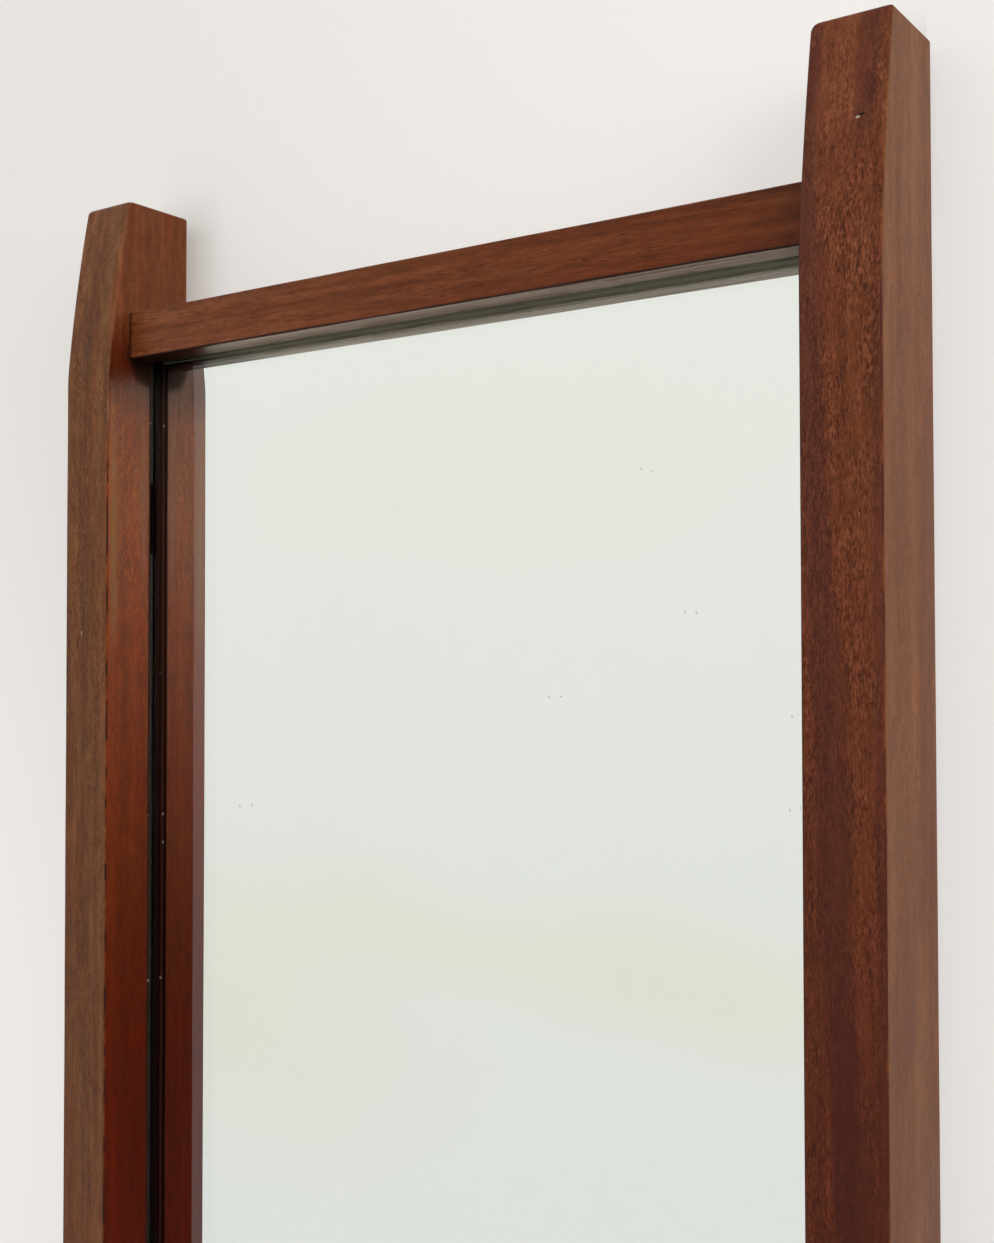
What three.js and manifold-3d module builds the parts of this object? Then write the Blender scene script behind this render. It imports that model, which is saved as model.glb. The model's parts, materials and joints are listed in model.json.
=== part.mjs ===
// Pier mirror: a tall, narrow looking glass in a slim hardwood frame that hangs on a wall.
//
// Two upright stiles run past two rails, and lean back at their ends. The plate glass lies in a
// rebate behind the frame's lip, on thin seating strips. Fillets, a backing board and turn
// buttons hold it from behind, and two hanger plates with swinging rings carry the whole.
//
// Units are millimetres. +X is the viewer's right, +Y points into the wall and +Z is up.
// The origin is on the line between the two rings' pivots, midway between the stiles, in the
// plane of the frame's back.

import * as THREE from 'three';
import { mergeVertices } from 'three/addons/utils/BufferGeometryUtils.js';
import Module from 'manifold-3d';

const wasm = await Module();
wasm.setup();

// ---------------------------------------------------------------- driving dimensions

const OVERALL_WIDTH = 346;
const OVERALL_HEIGHT = 1120;

const STILE_WIDTH = 25;
const STILE_DEPTH = 42.7;
const STILE_RISE = 46; // from a rail's outer edge to the stile's end
const TAPER_LENGTH = 72; // stretch at each end where the stile's front leans back
const TAPER_SETBACK = 10.5; // how far the front has leaned back at the very end
const TAPER_MID_SETBACK = 3.6; // setback of the lean's control point, halfway along
const TAPER_BLEND = 5; // half the length of the soft start of the lean
const ARRIS = 0.9; // radius of the eased edges
const END_ROUND = 1.5; // radius where a stile's end meets its front and back

const RAIL_HEIGHT = 19;
const RAIL_SETBACK = 11; // rail's front face behind the stile's

const LIP_DEPTH = 22; // stile's front face to the rebate
const REBATE_WIDTH = 8; // how far the rebate runs in under the lip

const GLASS_THICKNESS = 6.4;
const GLASS_CLEARANCE = 1.5; // glass edge to the rebate's wall
const GLASS_CHAMFER = 0.6;
const SEAT_THICKNESS = 1.6; // strip between lip and glass
const SEAT_WIDTH = 5.5;
const SEAT_INSET = 1.2; // strip's inner edge behind the lip's edge
const BLOCK_LENGTH = 30; // setting blocks and side spacers
const BLOCK_INSET = 70; // from the end of the glass edge to a block's middle

const BOARD_THICKNESS = 4;
const BOARD_CLEARANCE = 0.75; // board edge to the rebate's wall
const LAYER_GAP = 0.1; // between the broad faces of the stacked layers
const FILLET_CLEARANCE = 0.2; // fillet to the rebate's wall, and to the next fillet

const DOWEL_DIAMETER = 6;
const DOWEL_LENGTH = 30;
const DOWEL_CHAMFER = 0.8;
const DOWEL_FIT = 0.1; // radial clearance in the hole
const DOWEL_END_GAP = 1; // hole past the dowel's end

// Hardware stands this far inwards of the middle of a stile's bare back, so that none of it
// shows past the stile from the side.
const HARDWARE_SHIFT = 1;

const BUTTON_WIDTH = 10;
const BUTTON_REACH = 20; // pivot to the tip over the board
const BUTTON_TAIL = 8; // pivot to the other end
const BUTTON_TIP_RADIUS = 3;
const BUTTON_THICKNESS = 1.5;
const BUTTON_INSET = 110; // from the rebate's end to the outer buttons on a stile

const SCREW_DIAMETER = 3;
const SCREW_LENGTH = 16; // below the head
const SCREW_POINT = 4;
const SCREW_FIT = 0.2; // radial clearance in wood and metal
const SCREW_HEAD_DIAMETER = 6.4;
const SCREW_HEAD_HEIGHT = 2;
const SUNK_CROWN_RADIUS = 1.9; // shoulder of a sunk head's low crown
const SUNK_CROWN_SHOULDER = 0.5; // shoulder above the plate's face
const SUNK_CROWN_RISE = 0.65; // crown's middle above the plate's face
const SLOT_WIDTH = 0.8;
const SLOT_DEPTH = 0.9;
const RUNNING_GAP = 0.1; // under and over a turn button

const HANGER_WIDTH = 9;
const HANGER_THICKNESS = 1.2;
const HANGER_LENGTH = 38; // pivot to the plate's lower end
const HANGER_SCREW_DROPS = [17, 31]; // pivot to each screw
const KNUCKLE_MOUTH = Math.PI / 3; // where the rolled eye's lip stops, short of straight down
const RING_WIRE = 2.2;
const RING_HALF_WIDTH = 7; // on the wire's middle
const RING_LEG = 3.5; // straight part beside the bar
const RING_CORNER = 1.8;
const RING_FIT = 0.15; // radial clearance of the bar in the eye

const BUMPER_DIAMETER = 12;
const BUMPER_FACE_DIAMETER = 10;
const BUMPER_HEIGHT = 5;
const BUMPER_RISE = 30; // stile's lower end to a bumper's middle

const CUT_OVER = 1; // how far a cutter runs past the face it opens
const MERGE_DISTANCE = 1e-4; // corners closer than this are one corner
const CURVE_STEPS = 6; // steps in each curve of an outline
const ARRIS_STEPS = 2; // steps round a stile's eased edge
const ROUND = 16; // sides of a dowel
const SCREW_SIDES = 12;
const WIRE_SIDES = 8;
const WIRE_STEPS = 5; // steps in each quarter turn of the ring

// ---------------------------------------------------------------- places worked out from them

const HALF_WIDTH = OVERALL_WIDTH / 2;
const HALF_OPENING = HALF_WIDTH - STILE_WIDTH; // half the clear width between the stiles

const FRONT_Y = -STILE_DEPTH;
const BACK_Y = 0;
const RAIL_FRONT_Y = FRONT_Y + RAIL_SETBACK;
const LIP_Y = FRONT_Y + LIP_DEPTH;
const SEAT_FRONT_Y = LIP_Y + LAYER_GAP;
const GLASS_FRONT_Y = SEAT_FRONT_Y + SEAT_THICKNESS + LAYER_GAP;
const GLASS_BACK_Y = GLASS_FRONT_Y + GLASS_THICKNESS;
const FILLET_FRONT_Y = GLASS_BACK_Y + LAYER_GAP;
const BOARD_FRONT_Y = BACK_Y - BOARD_THICKNESS;
const FILLET_BACK_Y = BOARD_FRONT_Y - LAYER_GAP;

const STILE_TOP_Z = RAIL_HEIGHT / 2 + STILE_RISE; // the top rail's middle is at the origin's height
const STILE_BOTTOM_Z = STILE_TOP_Z - OVERALL_HEIGHT;
const TOP_RAIL_Z = STILE_TOP_Z - STILE_RISE - RAIL_HEIGHT / 2;
const BOTTOM_RAIL_Z = STILE_BOTTOM_Z + STILE_RISE + RAIL_HEIGHT / 2;
const SIGHT_TOP_Z = TOP_RAIL_Z - RAIL_HEIGHT / 2; // edges of the clear opening
const SIGHT_BOTTOM_Z = BOTTOM_RAIL_Z + RAIL_HEIGHT / 2;
const MIDDLE_Z = (SIGHT_TOP_Z + SIGHT_BOTTOM_Z) / 2;

const REBATE_HALF_WIDTH = HALF_OPENING + REBATE_WIDTH;
const REBATE_TOP_Z = SIGHT_TOP_Z + REBATE_WIDTH;
const REBATE_BOTTOM_Z = SIGHT_BOTTOM_Z - REBATE_WIDTH;

const SCREW_LINE_X = (REBATE_HALF_WIDTH + HALF_WIDTH) / 2 - HARDWARE_SHIFT;
const RAIL_LEG_HEIGHT = RAIL_HEIGHT - REBATE_WIDTH; // the part of a rail beside the rebate

// ---------------------------------------------------------------- materials

function material(color, roughness, metalness = 0) {
  return new THREE.MeshStandardMaterial({ color, roughness, metalness });
}

const HARDWOOD = material(0x6b3a24, 0.5);
const DOWEL_WOOD = material(0xc9a878, 0.7);
const SOFTWOOD = material(0xd2b184, 0.75);
const GLASS = material(0xdfe6dd, 0.03, 1);
const FELT = material(0x1d1512, 0.95);
const CORK = material(0xa9794c, 0.9);
const HARDBOARD = material(0x7a5a3e, 0.8);
const BRASS = material(0xb08d4a, 0.35, 1);
const STEEL = material(0x9a9c9e, 0.35, 1);
const RUBBER = material(0x2a2725, 0.85);

// ---------------------------------------------------------------- solids, cuts and joins

function toSolid(geometry) {
  const bare = geometry.clone();
  bare.deleteAttribute('normal');
  bare.deleteAttribute('uv');
  const merged = mergeVertices(bare, MERGE_DISTANCE);
  const corners = merged.index.array;
  const kept = [];
  for (let i = 0; i < corners.length; i += 3) {
    const [a, b, c] = corners.slice(i, i + 3);
    // A triangle at a turned piece's pole has two corners in one.
    if (a !== b && b !== c && c !== a) kept.push(a, b, c);
  }
  const vertProperties = new Float32Array(merged.attributes.position.array);
  const triVerts = new Uint32Array(kept);
  return new wasm.Manifold(new wasm.Mesh({ numProp: 3, vertProperties, triVerts }));
}

function toGeometry(solid) {
  const mesh = solid.getMesh();
  const geometry = new THREE.BufferGeometry();
  geometry.setAttribute('position', new THREE.BufferAttribute(mesh.vertProperties, 3));
  geometry.setIndex(new THREE.BufferAttribute(mesh.triVerts, 1));
  geometry.computeVertexNormals();
  return geometry;
}

function cut(geometry, cutters) {
  let solid = toSolid(geometry);
  for (const cutter of cutters) solid = solid.subtract(toSolid(cutter));
  return toGeometry(solid);
}

function common(first, second) {
  return toGeometry(toSolid(first).intersect(toSolid(second)));
}

// A box between two corners.
function block(low, high) {
  const size = new THREE.Vector3().subVectors(high, low);
  const middle = new THREE.Vector3().addVectors(low, high).multiplyScalar(0.5);
  const geometry = new THREE.BoxGeometry(size.x, size.y, size.z);
  return geometry.translate(middle.x, middle.y, middle.z);
}

function point(x, y, z) {
  return new THREE.Vector3(x, y, z);
}

// Eased edges that grow out of both end planes of an extrusion, and keep to its outline.
function bevel(size, steps) {
  return {
    bevelEnabled: true,
    bevelThickness: size,
    bevelSize: size,
    bevelOffset: -size,
    bevelSegments: steps,
  };
}

// A shape drawn on (Y, Z), carried along X from one plane to another.
function alongX(shape, fromX, toX, options = {}) {
  const depth = toX - fromX;
  const settings = { depth, bevelEnabled: false, curveSegments: CURVE_STEPS, ...options };
  const geometry = new THREE.ExtrudeGeometry(shape, settings);
  const turn = new THREE.Matrix4().makeBasis(point(0, 1, 0), point(0, 0, 1), point(1, 0, 0));
  return geometry.applyMatrix4(turn).translate(fromX, 0, 0);
}

// A shape drawn on (X, Z), carried along Y from one plane to another.
function alongY(shape, fromY, toY, options = {}) {
  const depth = toY - fromY;
  const settings = { depth, bevelEnabled: false, curveSegments: CURVE_STEPS, ...options };
  const geometry = new THREE.ExtrudeGeometry(shape, settings);
  return geometry.rotateX(Math.PI / 2).translate(0, toY, 0);
}

// A turned piece: its profile is [radius, height] pairs, and its axis points along direction.
function turned(profile, sides, place, direction) {
  const points = profile.map(([radius, height]) => new THREE.Vector2(radius, height));
  const geometry = new THREE.LatheGeometry(points, sides);
  const turn = new THREE.Quaternion().setFromUnitVectors(point(0, 1, 0), direction);
  return geometry.applyQuaternion(turn).translate(place.x, place.y, place.z);
}

// A plain round bar or hole that starts at a place and runs along a direction.
function bar(radius, length, sides, place, direction) {
  return turned([[0, 0], [radius, 0], [radius, length], [0, length]], sides, place, direction);
}

const group = new THREE.Group();

function add(name, geometry, finish) {
  const mesh = new THREE.Mesh(geometry, finish);
  mesh.name = name;
  group.add(mesh);
}

const SIDES = [['left', -1], ['right', 1]];
const ENDS = [['top', 1, TOP_RAIL_Z], ['bottom', -1, BOTTOM_RAIL_Z]];

// ---------------------------------------------------------------- holes that fasteners share

// Two dowels at each end of a rail: one in the full section in front of the rebate, and one in
// the leg behind it.
const DOWELS = [];
for (const [end, up, railZ] of ENDS) {
  for (const [side, right] of SIDES) {
    const legZ = railZ + (up * (RAIL_HEIGHT - RAIL_LEG_HEIGHT)) / 2;
    const joint = { side, end, x: right * HALF_OPENING };
    DOWELS.push({ ...joint, row: 'front', y: (RAIL_FRONT_Y + LIP_Y) / 2, z: railZ });
    DOWELS.push({ ...joint, row: 'back', y: (LIP_Y + BACK_Y) / 2, z: legZ });
  }
}

function dowelHole({ x, y, z }) {
  const half = DOWEL_LENGTH / 2 + DOWEL_END_GAP;
  return bar(DOWEL_DIAMETER / 2 + DOWEL_FIT, 2 * half, ROUND, point(x - half, y, z), point(1, 0, 0));
}

// Turn buttons stand on the stiles and on the rails' legs. inward points at the board.
const BUTTONS = [];
for (const [side, right] of SIDES) {
  const heights = [REBATE_TOP_Z - BUTTON_INSET, MIDDLE_Z, REBATE_BOTTOM_Z + BUTTON_INSET];
  heights.forEach((z, index) => {
    const name = `${side}_turn_button_${index + 1}`;
    BUTTONS.push({ name, member: side, x: right * SCREW_LINE_X, z, inward: point(-right, 0, 0) });
  });
}
for (const [end, up, railZ] of ENDS) {
  const z = railZ + (up * (RAIL_HEIGHT - RAIL_LEG_HEIGHT)) / 2;
  BUTTONS.push({ name: `${end}_turn_button`, member: end, x: 0, z, inward: point(0, 0, -up) });
}

// Hanger plates are screwed to the stiles' backs under the rings' pivots.
const HANGER_SCREWS = [];
for (const [side, right] of SIDES) {
  HANGER_SCREW_DROPS.forEach((drop, index) => {
    const name = `${side}_hanger_screw_${index + 1}`;
    HANGER_SCREWS.push({ name, member: side, x: right * SCREW_LINE_X, z: -drop });
  });
}

function screwHole({ x, z }) {
  const depth = SCREW_LENGTH + CUT_OVER;
  const place = point(x, BACK_Y - depth, z);
  return bar(SCREW_DIAMETER / 2 + SCREW_FIT, depth + CUT_OVER, SCREW_SIDES, place, point(0, 1, 0));
}

// Every hole that opens into one member of the frame.
function holesIn(member) {
  const holes = DOWELS.filter((dowel) => dowel.side === member || dowel.end === member).map(dowelHole);
  for (const screw of [...BUTTONS, ...HANGER_SCREWS]) {
    if (screw.member === member) holes.push(screwHole(screw));
  }
  return holes;
}

// ---------------------------------------------------------------- stiles and rails

// A stile seen from the side, on (Y, Z). The back is straight. Near each end the front leans
// back: a short blend, then one long curve that leans further towards the end.
function stileOutline() {
  const outline = new THREE.Shape();
  const half = OVERALL_HEIGHT / 2;
  const start = half - TAPER_LENGTH;
  const lean = TAPER_MID_SETBACK / (TAPER_LENGTH / 2);
  const steep = (TAPER_SETBACK - TAPER_MID_SETBACK) / (TAPER_LENGTH / 2);
  const tipY = FRONT_Y + TAPER_SETBACK;
  const midY = FRONT_Y + TAPER_MID_SETBACK;
  const midZ = half - TAPER_LENGTH / 2;
  const blendY = FRONT_Y + lean * TAPER_BLEND;
  const cornerY = tipY - steep * END_ROUND;
  outline.moveTo(BACK_Y - END_ROUND, -half);
  outline.quadraticCurveTo(BACK_Y, -half, BACK_Y, -half + END_ROUND);
  outline.lineTo(BACK_Y, half - END_ROUND);
  outline.quadraticCurveTo(BACK_Y, half, BACK_Y - END_ROUND, half);
  outline.lineTo(tipY + END_ROUND, half);
  outline.quadraticCurveTo(tipY, half, cornerY, half - END_ROUND);
  outline.quadraticCurveTo(midY, midZ, blendY, start + TAPER_BLEND);
  outline.quadraticCurveTo(FRONT_Y, start, FRONT_Y, start - TAPER_BLEND);
  outline.lineTo(FRONT_Y, TAPER_BLEND - start);
  outline.quadraticCurveTo(FRONT_Y, -start, blendY, -start - TAPER_BLEND);
  outline.quadraticCurveTo(midY, -midZ, cornerY, END_ROUND - half);
  outline.quadraticCurveTo(tipY, -half, tipY + END_ROUND, -half);
  outline.closePath();
  return outline;
}

function stile(side, right) {
  const innerX = right * HALF_OPENING;
  const outerX = right * HALF_WIDTH;
  const lowX = Math.min(innerX, outerX) + ARRIS;
  const highX = Math.max(innerX, outerX) - ARRIS;
  const blank = alongX(stileOutline(), lowX, highX, bevel(ARRIS, ARRIS_STEPS));
  blank.translate(0, 0, (STILE_TOP_Z + STILE_BOTTOM_Z) / 2);
  const wallX = right * REBATE_HALF_WIDTH;
  const openX = right * (HALF_OPENING - CUT_OVER);
  const rebate = block(
    point(Math.min(wallX, openX), LIP_Y, REBATE_BOTTOM_Z),
    point(Math.max(wallX, openX), BACK_Y + CUT_OVER, REBATE_TOP_Z),
  );
  return cut(blank, [rebate, ...holesIn(side)]);
}

// A rail's section on (Y, Z) about its own middle: eased edges, and the rebate's step at the
// back on the side that faces the glass. up is 1 for the top rail and -1 for the bottom one.
function railOutline(up) {
  const outline = new THREE.Shape();
  const outer = (up * RAIL_HEIGHT) / 2;
  const inner = -outer;
  const ease = up * ARRIS;
  outline.moveTo(LIP_Y, inner);
  outline.lineTo(RAIL_FRONT_Y + ARRIS, inner);
  outline.quadraticCurveTo(RAIL_FRONT_Y, inner, RAIL_FRONT_Y, inner + ease);
  outline.lineTo(RAIL_FRONT_Y, outer - ease);
  outline.quadraticCurveTo(RAIL_FRONT_Y, outer, RAIL_FRONT_Y + ARRIS, outer);
  outline.lineTo(BACK_Y - ARRIS, outer);
  outline.quadraticCurveTo(BACK_Y, outer, BACK_Y, outer - ease);
  outline.lineTo(BACK_Y, inner + up * REBATE_WIDTH);
  outline.lineTo(LIP_Y, inner + up * REBATE_WIDTH);
  outline.closePath();
  return outline;
}

function rail(end, up, railZ) {
  const blank = alongX(railOutline(up), -HALF_OPENING, HALF_OPENING);
  blank.translate(0, 0, railZ);
  return cut(blank, holesIn(end));
}

for (const [side, right] of SIDES) add(`${side}_stile`, stile(side, right), HARDWOOD);
for (const [end, up, railZ] of ENDS) add(`${end}_rail`, rail(end, up, railZ), HARDWOOD);

for (const { side, end, row, x, y, z } of DOWELS) {
  const radius = DOWEL_DIAMETER / 2;
  const profile = [
    [0, 0],
    [radius - DOWEL_CHAMFER, 0],
    [radius, DOWEL_CHAMFER],
    [radius, DOWEL_LENGTH - DOWEL_CHAMFER],
    [radius - DOWEL_CHAMFER, DOWEL_LENGTH],
    [0, DOWEL_LENGTH],
  ];
  const place = point(x - DOWEL_LENGTH / 2, y, z);
  add(`${end}_${side}_dowel_${row}`, turned(profile, ROUND, place, point(1, 0, 0)), DOWEL_WOOD);
}

// ---------------------------------------------------------------- glass and what it sits on

const GLASS_HALF_WIDTH = REBATE_HALF_WIDTH - GLASS_CLEARANCE;
const GLASS_TOP_Z = REBATE_TOP_Z - GLASS_CLEARANCE;
const GLASS_BOTTOM_Z = REBATE_BOTTOM_Z + GLASS_CLEARANCE;

// The plate, with its edges ground to a small chamfer.
function mirrorPlate() {
  const outline = new THREE.Shape();
  outline.moveTo(-GLASS_HALF_WIDTH, GLASS_BOTTOM_Z);
  outline.lineTo(GLASS_HALF_WIDTH, GLASS_BOTTOM_Z);
  outline.lineTo(GLASS_HALF_WIDTH, GLASS_TOP_Z);
  outline.lineTo(-GLASS_HALF_WIDTH, GLASS_TOP_Z);
  outline.closePath();
  const frontY = GLASS_FRONT_Y + GLASS_CHAMFER;
  return alongY(outline, frontY, GLASS_BACK_Y - GLASS_CHAMFER, bevel(GLASS_CHAMFER, 1));
}

add('mirror_glass', mirrorPlate(), GLASS);

const SEAT_INNER_X = HALF_OPENING + SEAT_INSET;
const SEAT_OUTER_X = SEAT_INNER_X + SEAT_WIDTH;
const SEAT_BACK_Y = SEAT_FRONT_Y + SEAT_THICKNESS;
const SEAT_ENDS = { top: SIGHT_TOP_Z + SEAT_INSET, bottom: SIGHT_BOTTOM_Z - SEAT_INSET };
for (const [side, right] of SIDES) {
  const xs = [right * SEAT_INNER_X, right * SEAT_OUTER_X];
  const low = point(Math.min(...xs), SEAT_FRONT_Y, SEAT_ENDS.bottom - SEAT_WIDTH);
  const high = point(Math.max(...xs), SEAT_BACK_Y, SEAT_ENDS.top + SEAT_WIDTH);
  add(`${side}_seating_strip`, block(low, high), FELT);
}
for (const [end, up] of ENDS) {
  const zs = [SEAT_ENDS[end], SEAT_ENDS[end] + up * SEAT_WIDTH];
  const reach = SEAT_INNER_X - FILLET_CLEARANCE;
  const low = point(-reach, SEAT_FRONT_Y, Math.min(...zs));
  const high = point(reach, SEAT_BACK_Y, Math.max(...zs));
  add(`${end}_seating_strip`, block(low, high), FELT);
}

// Cork under the glass's lower edge, and beside its long edges.
for (const [side, right] of SIDES) {
  const x = right * (GLASS_HALF_WIDTH - BLOCK_INSET);
  const low = point(x - BLOCK_LENGTH / 2, GLASS_FRONT_Y, REBATE_BOTTOM_Z);
  const high = point(x + BLOCK_LENGTH / 2, GLASS_BACK_Y, GLASS_BOTTOM_Z);
  add(`${side}_setting_block`, block(low, high), CORK);
}
for (const [side, right] of SIDES) {
  const heights = { upper: GLASS_TOP_Z - BLOCK_INSET, lower: GLASS_BOTTOM_Z + BLOCK_INSET };
  for (const [level, z] of Object.entries(heights)) {
    const xs = [right * GLASS_HALF_WIDTH, right * REBATE_HALF_WIDTH];
    const low = point(Math.min(...xs), GLASS_FRONT_Y, z - BLOCK_LENGTH / 2);
    const high = point(Math.max(...xs), GLASS_BACK_Y, z + BLOCK_LENGTH / 2);
    add(`${side}_side_spacer_${level}`, block(low, high), CORK);
  }
}

// ---------------------------------------------------------------- fillets and board

// Square strips that fill the rebate between the glass and the board. The long ones run the
// rebate's full height and the short ones fit between them.
for (const [side, right] of SIDES) {
  const xs = [right * HALF_OPENING, right * (REBATE_HALF_WIDTH - FILLET_CLEARANCE)];
  const low = point(Math.min(...xs), FILLET_FRONT_Y, REBATE_BOTTOM_Z + FILLET_CLEARANCE);
  const high = point(Math.max(...xs), FILLET_BACK_Y, REBATE_TOP_Z - FILLET_CLEARANCE);
  add(`${side}_fillet`, block(low, high), SOFTWOOD);
}
for (const [end, up] of ENDS) {
  const sight = up > 0 ? SIGHT_TOP_Z : SIGHT_BOTTOM_Z;
  const zs = [sight, sight + up * (REBATE_WIDTH - FILLET_CLEARANCE)];
  const reach = HALF_OPENING - FILLET_CLEARANCE;
  const low = point(-reach, FILLET_FRONT_Y, Math.min(...zs));
  const high = point(reach, FILLET_BACK_Y, Math.max(...zs));
  add(`${end}_fillet`, block(low, high), SOFTWOOD);
}

const BOARD_HALF_WIDTH = REBATE_HALF_WIDTH - BOARD_CLEARANCE;
const boardLow = point(-BOARD_HALF_WIDTH, BOARD_FRONT_Y, REBATE_BOTTOM_Z + BOARD_CLEARANCE);
const boardHigh = point(BOARD_HALF_WIDTH, BACK_Y, REBATE_TOP_Z - BOARD_CLEARANCE);
add('backing_board', block(boardLow, boardHigh), HARDBOARD);

// ---------------------------------------------------------------- turn buttons

// The button lies on (X, Z) with its pivot at the middle and its tip along +X.
function buttonOutline() {
  const outline = new THREE.Shape();
  const half = BUTTON_WIDTH / 2;
  const tip = BUTTON_REACH - BUTTON_TIP_RADIUS;
  const heel = BUTTON_TAIL - half;
  outline.moveTo(-heel, -half);
  outline.lineTo(0, -half);
  outline.lineTo(tip, -BUTTON_TIP_RADIUS);
  outline.absarc(tip, 0, BUTTON_TIP_RADIUS, -Math.PI / 2, Math.PI / 2, false);
  outline.lineTo(0, half);
  outline.lineTo(-heel, half);
  outline.absarc(-heel, 0, half, Math.PI / 2, (3 * Math.PI) / 2, false);
  const hole = new THREE.Path();
  hole.absarc(0, 0, SCREW_DIAMETER / 2 + SCREW_FIT, 0, 2 * Math.PI, true);
  outline.holes.push(hole);
  return outline;
}

const BUTTON_FRONT_Y = BACK_Y + RUNNING_GAP;
const BUTTON_BACK_Y = BUTTON_FRONT_Y + BUTTON_THICKNESS;

function turnButton({ x, z, inward }) {
  const plate = alongY(buttonOutline(), BUTTON_FRONT_Y, BUTTON_BACK_Y);
  const turn = new THREE.Quaternion().setFromUnitVectors(point(1, 0, 0), inward);
  return plate.applyQuaternion(turn).translate(x, 0, z);
}

// A slotted wood screw. Its shank runs towards -Y from the plane under the head.
function woodScrew({ x, z }, seatY, head) {
  const radius = SCREW_DIAMETER / 2;
  const profile = [
    [0, -SCREW_LENGTH],
    [radius, SCREW_POINT - SCREW_LENGTH],
    ...head,
  ];
  const body = turned(profile, SCREW_SIDES, point(x, seatY, z), point(0, 1, 0));
  const topY = seatY + head[head.length - 1][1];
  const reach = SCREW_HEAD_DIAMETER / 2 + CUT_OVER;
  const slot = block(
    point(x - SLOT_WIDTH / 2, topY - SLOT_DEPTH, z - reach),
    point(x + SLOT_WIDTH / 2, topY + CUT_OVER, z + reach),
  );
  return cut(body, [slot]);
}

const HEAD_RADIUS = SCREW_HEAD_DIAMETER / 2;
const ROUND_HEAD = [
  [SCREW_DIAMETER / 2, 0],
  [HEAD_RADIUS, 0],
  [HEAD_RADIUS * Math.cos(Math.PI / 6), SCREW_HEAD_HEIGHT * Math.sin(Math.PI / 6)],
  [HEAD_RADIUS * Math.cos(Math.PI / 3), SCREW_HEAD_HEIGHT * Math.sin(Math.PI / 3)],
  [0, SCREW_HEAD_HEIGHT],
];

for (const button of BUTTONS) {
  add(button.name, turnButton(button), BRASS);
  const screw = woodScrew(button, BUTTON_BACK_Y + RUNNING_GAP, ROUND_HEAD);
  add(`${button.name}_screw`, screw, BRASS);
}

// ---------------------------------------------------------------- hangers

const EYE_INNER = RING_WIRE / 2 + RING_FIT;
const EYE_OUTER = EYE_INNER + HANGER_THICKNESS;
const PIVOT_Y = BACK_Y + EYE_OUTER;

// The plate seen from the side, on (Y, Z): flat on the stile, with its upper end rolled round
// the ring's bar. The roll's lip stops short, above the plate.
function hangerOutline() {
  const outline = new THREE.Shape();
  outline.moveTo(BACK_Y, -HANGER_LENGTH);
  outline.lineTo(BACK_Y, 0);
  outline.absarc(PIVOT_Y, 0, EYE_OUTER, Math.PI, -KNUCKLE_MOUTH, true);
  outline.absarc(PIVOT_Y, 0, EYE_INNER, -KNUCKLE_MOUTH, Math.PI, false);
  outline.lineTo(BACK_Y + HANGER_THICKNESS, -HANGER_LENGTH);
  outline.closePath();
  return outline;
}

// The plate seen from behind, on (X, Z): a strip with a round lower end.
function hangerFace() {
  const outline = new THREE.Shape();
  const half = HANGER_WIDTH / 2;
  outline.moveTo(-half, half - HANGER_LENGTH);
  outline.absarc(0, half - HANGER_LENGTH, half, Math.PI, 2 * Math.PI, false);
  outline.lineTo(half, 2 * EYE_OUTER);
  outline.lineTo(-half, 2 * EYE_OUTER);
  outline.closePath();
  return outline;
}

// A countersunk hole's cone, which the screw's head fits with the named clearance.
const SINK_TOP_Y = BACK_Y + HANGER_THICKNESS;
function countersink({ x, z }) {
  const shank = SCREW_DIAMETER / 2 + SCREW_FIT;
  const wide = SCREW_HEAD_DIAMETER / 2 + SCREW_FIT;
  const profile = [
    [0, -CUT_OVER],
    [shank, -CUT_OVER],
    [shank, 0],
    [wide, HANGER_THICKNESS],
    [wide, HANGER_THICKNESS + CUT_OVER],
    [0, HANGER_THICKNESS + CUT_OVER],
  ];
  return turned(profile, SCREW_SIDES, point(x, BACK_Y, z), point(0, 1, 0));
}

function hangerPlate(side, right) {
  const strip = alongX(hangerOutline(), -HANGER_WIDTH / 2, HANGER_WIDTH / 2);
  const face = alongY(hangerFace(), BACK_Y - CUT_OVER, BACK_Y + 2 * EYE_OUTER + CUT_OVER);
  const plate = common(strip, face).translate(right * SCREW_LINE_X, 0, 0);
  return cut(plate, HANGER_SCREWS.filter((screw) => screw.member === side).map(countersink));
}

const SUNK_HEAD = [
  [SCREW_DIAMETER / 2, 0],
  [HEAD_RADIUS, HANGER_THICKNESS],
  [SUNK_CROWN_RADIUS, HANGER_THICKNESS + SUNK_CROWN_SHOULDER],
  [0, HANGER_THICKNESS + SUNK_CROWN_RISE],
];

// The ring hangs from the eye as a letter D on its back: a bar, two short legs and a half round.
function ringPath() {
  const path = new THREE.Path();
  const half = RING_HALF_WIDTH;
  path.moveTo(half - RING_CORNER, 0);
  path.lineTo(RING_CORNER - half, 0);
  path.absarc(RING_CORNER - half, -RING_CORNER, RING_CORNER, Math.PI / 2, Math.PI, false);
  path.lineTo(-half, -RING_LEG);
  path.absarc(0, -RING_LEG, half, Math.PI, 2 * Math.PI, false);
  path.lineTo(half, -RING_CORNER);
  path.absarc(half - RING_CORNER, -RING_CORNER, RING_CORNER, 0, Math.PI / 2, false);
  return path;
}

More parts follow.
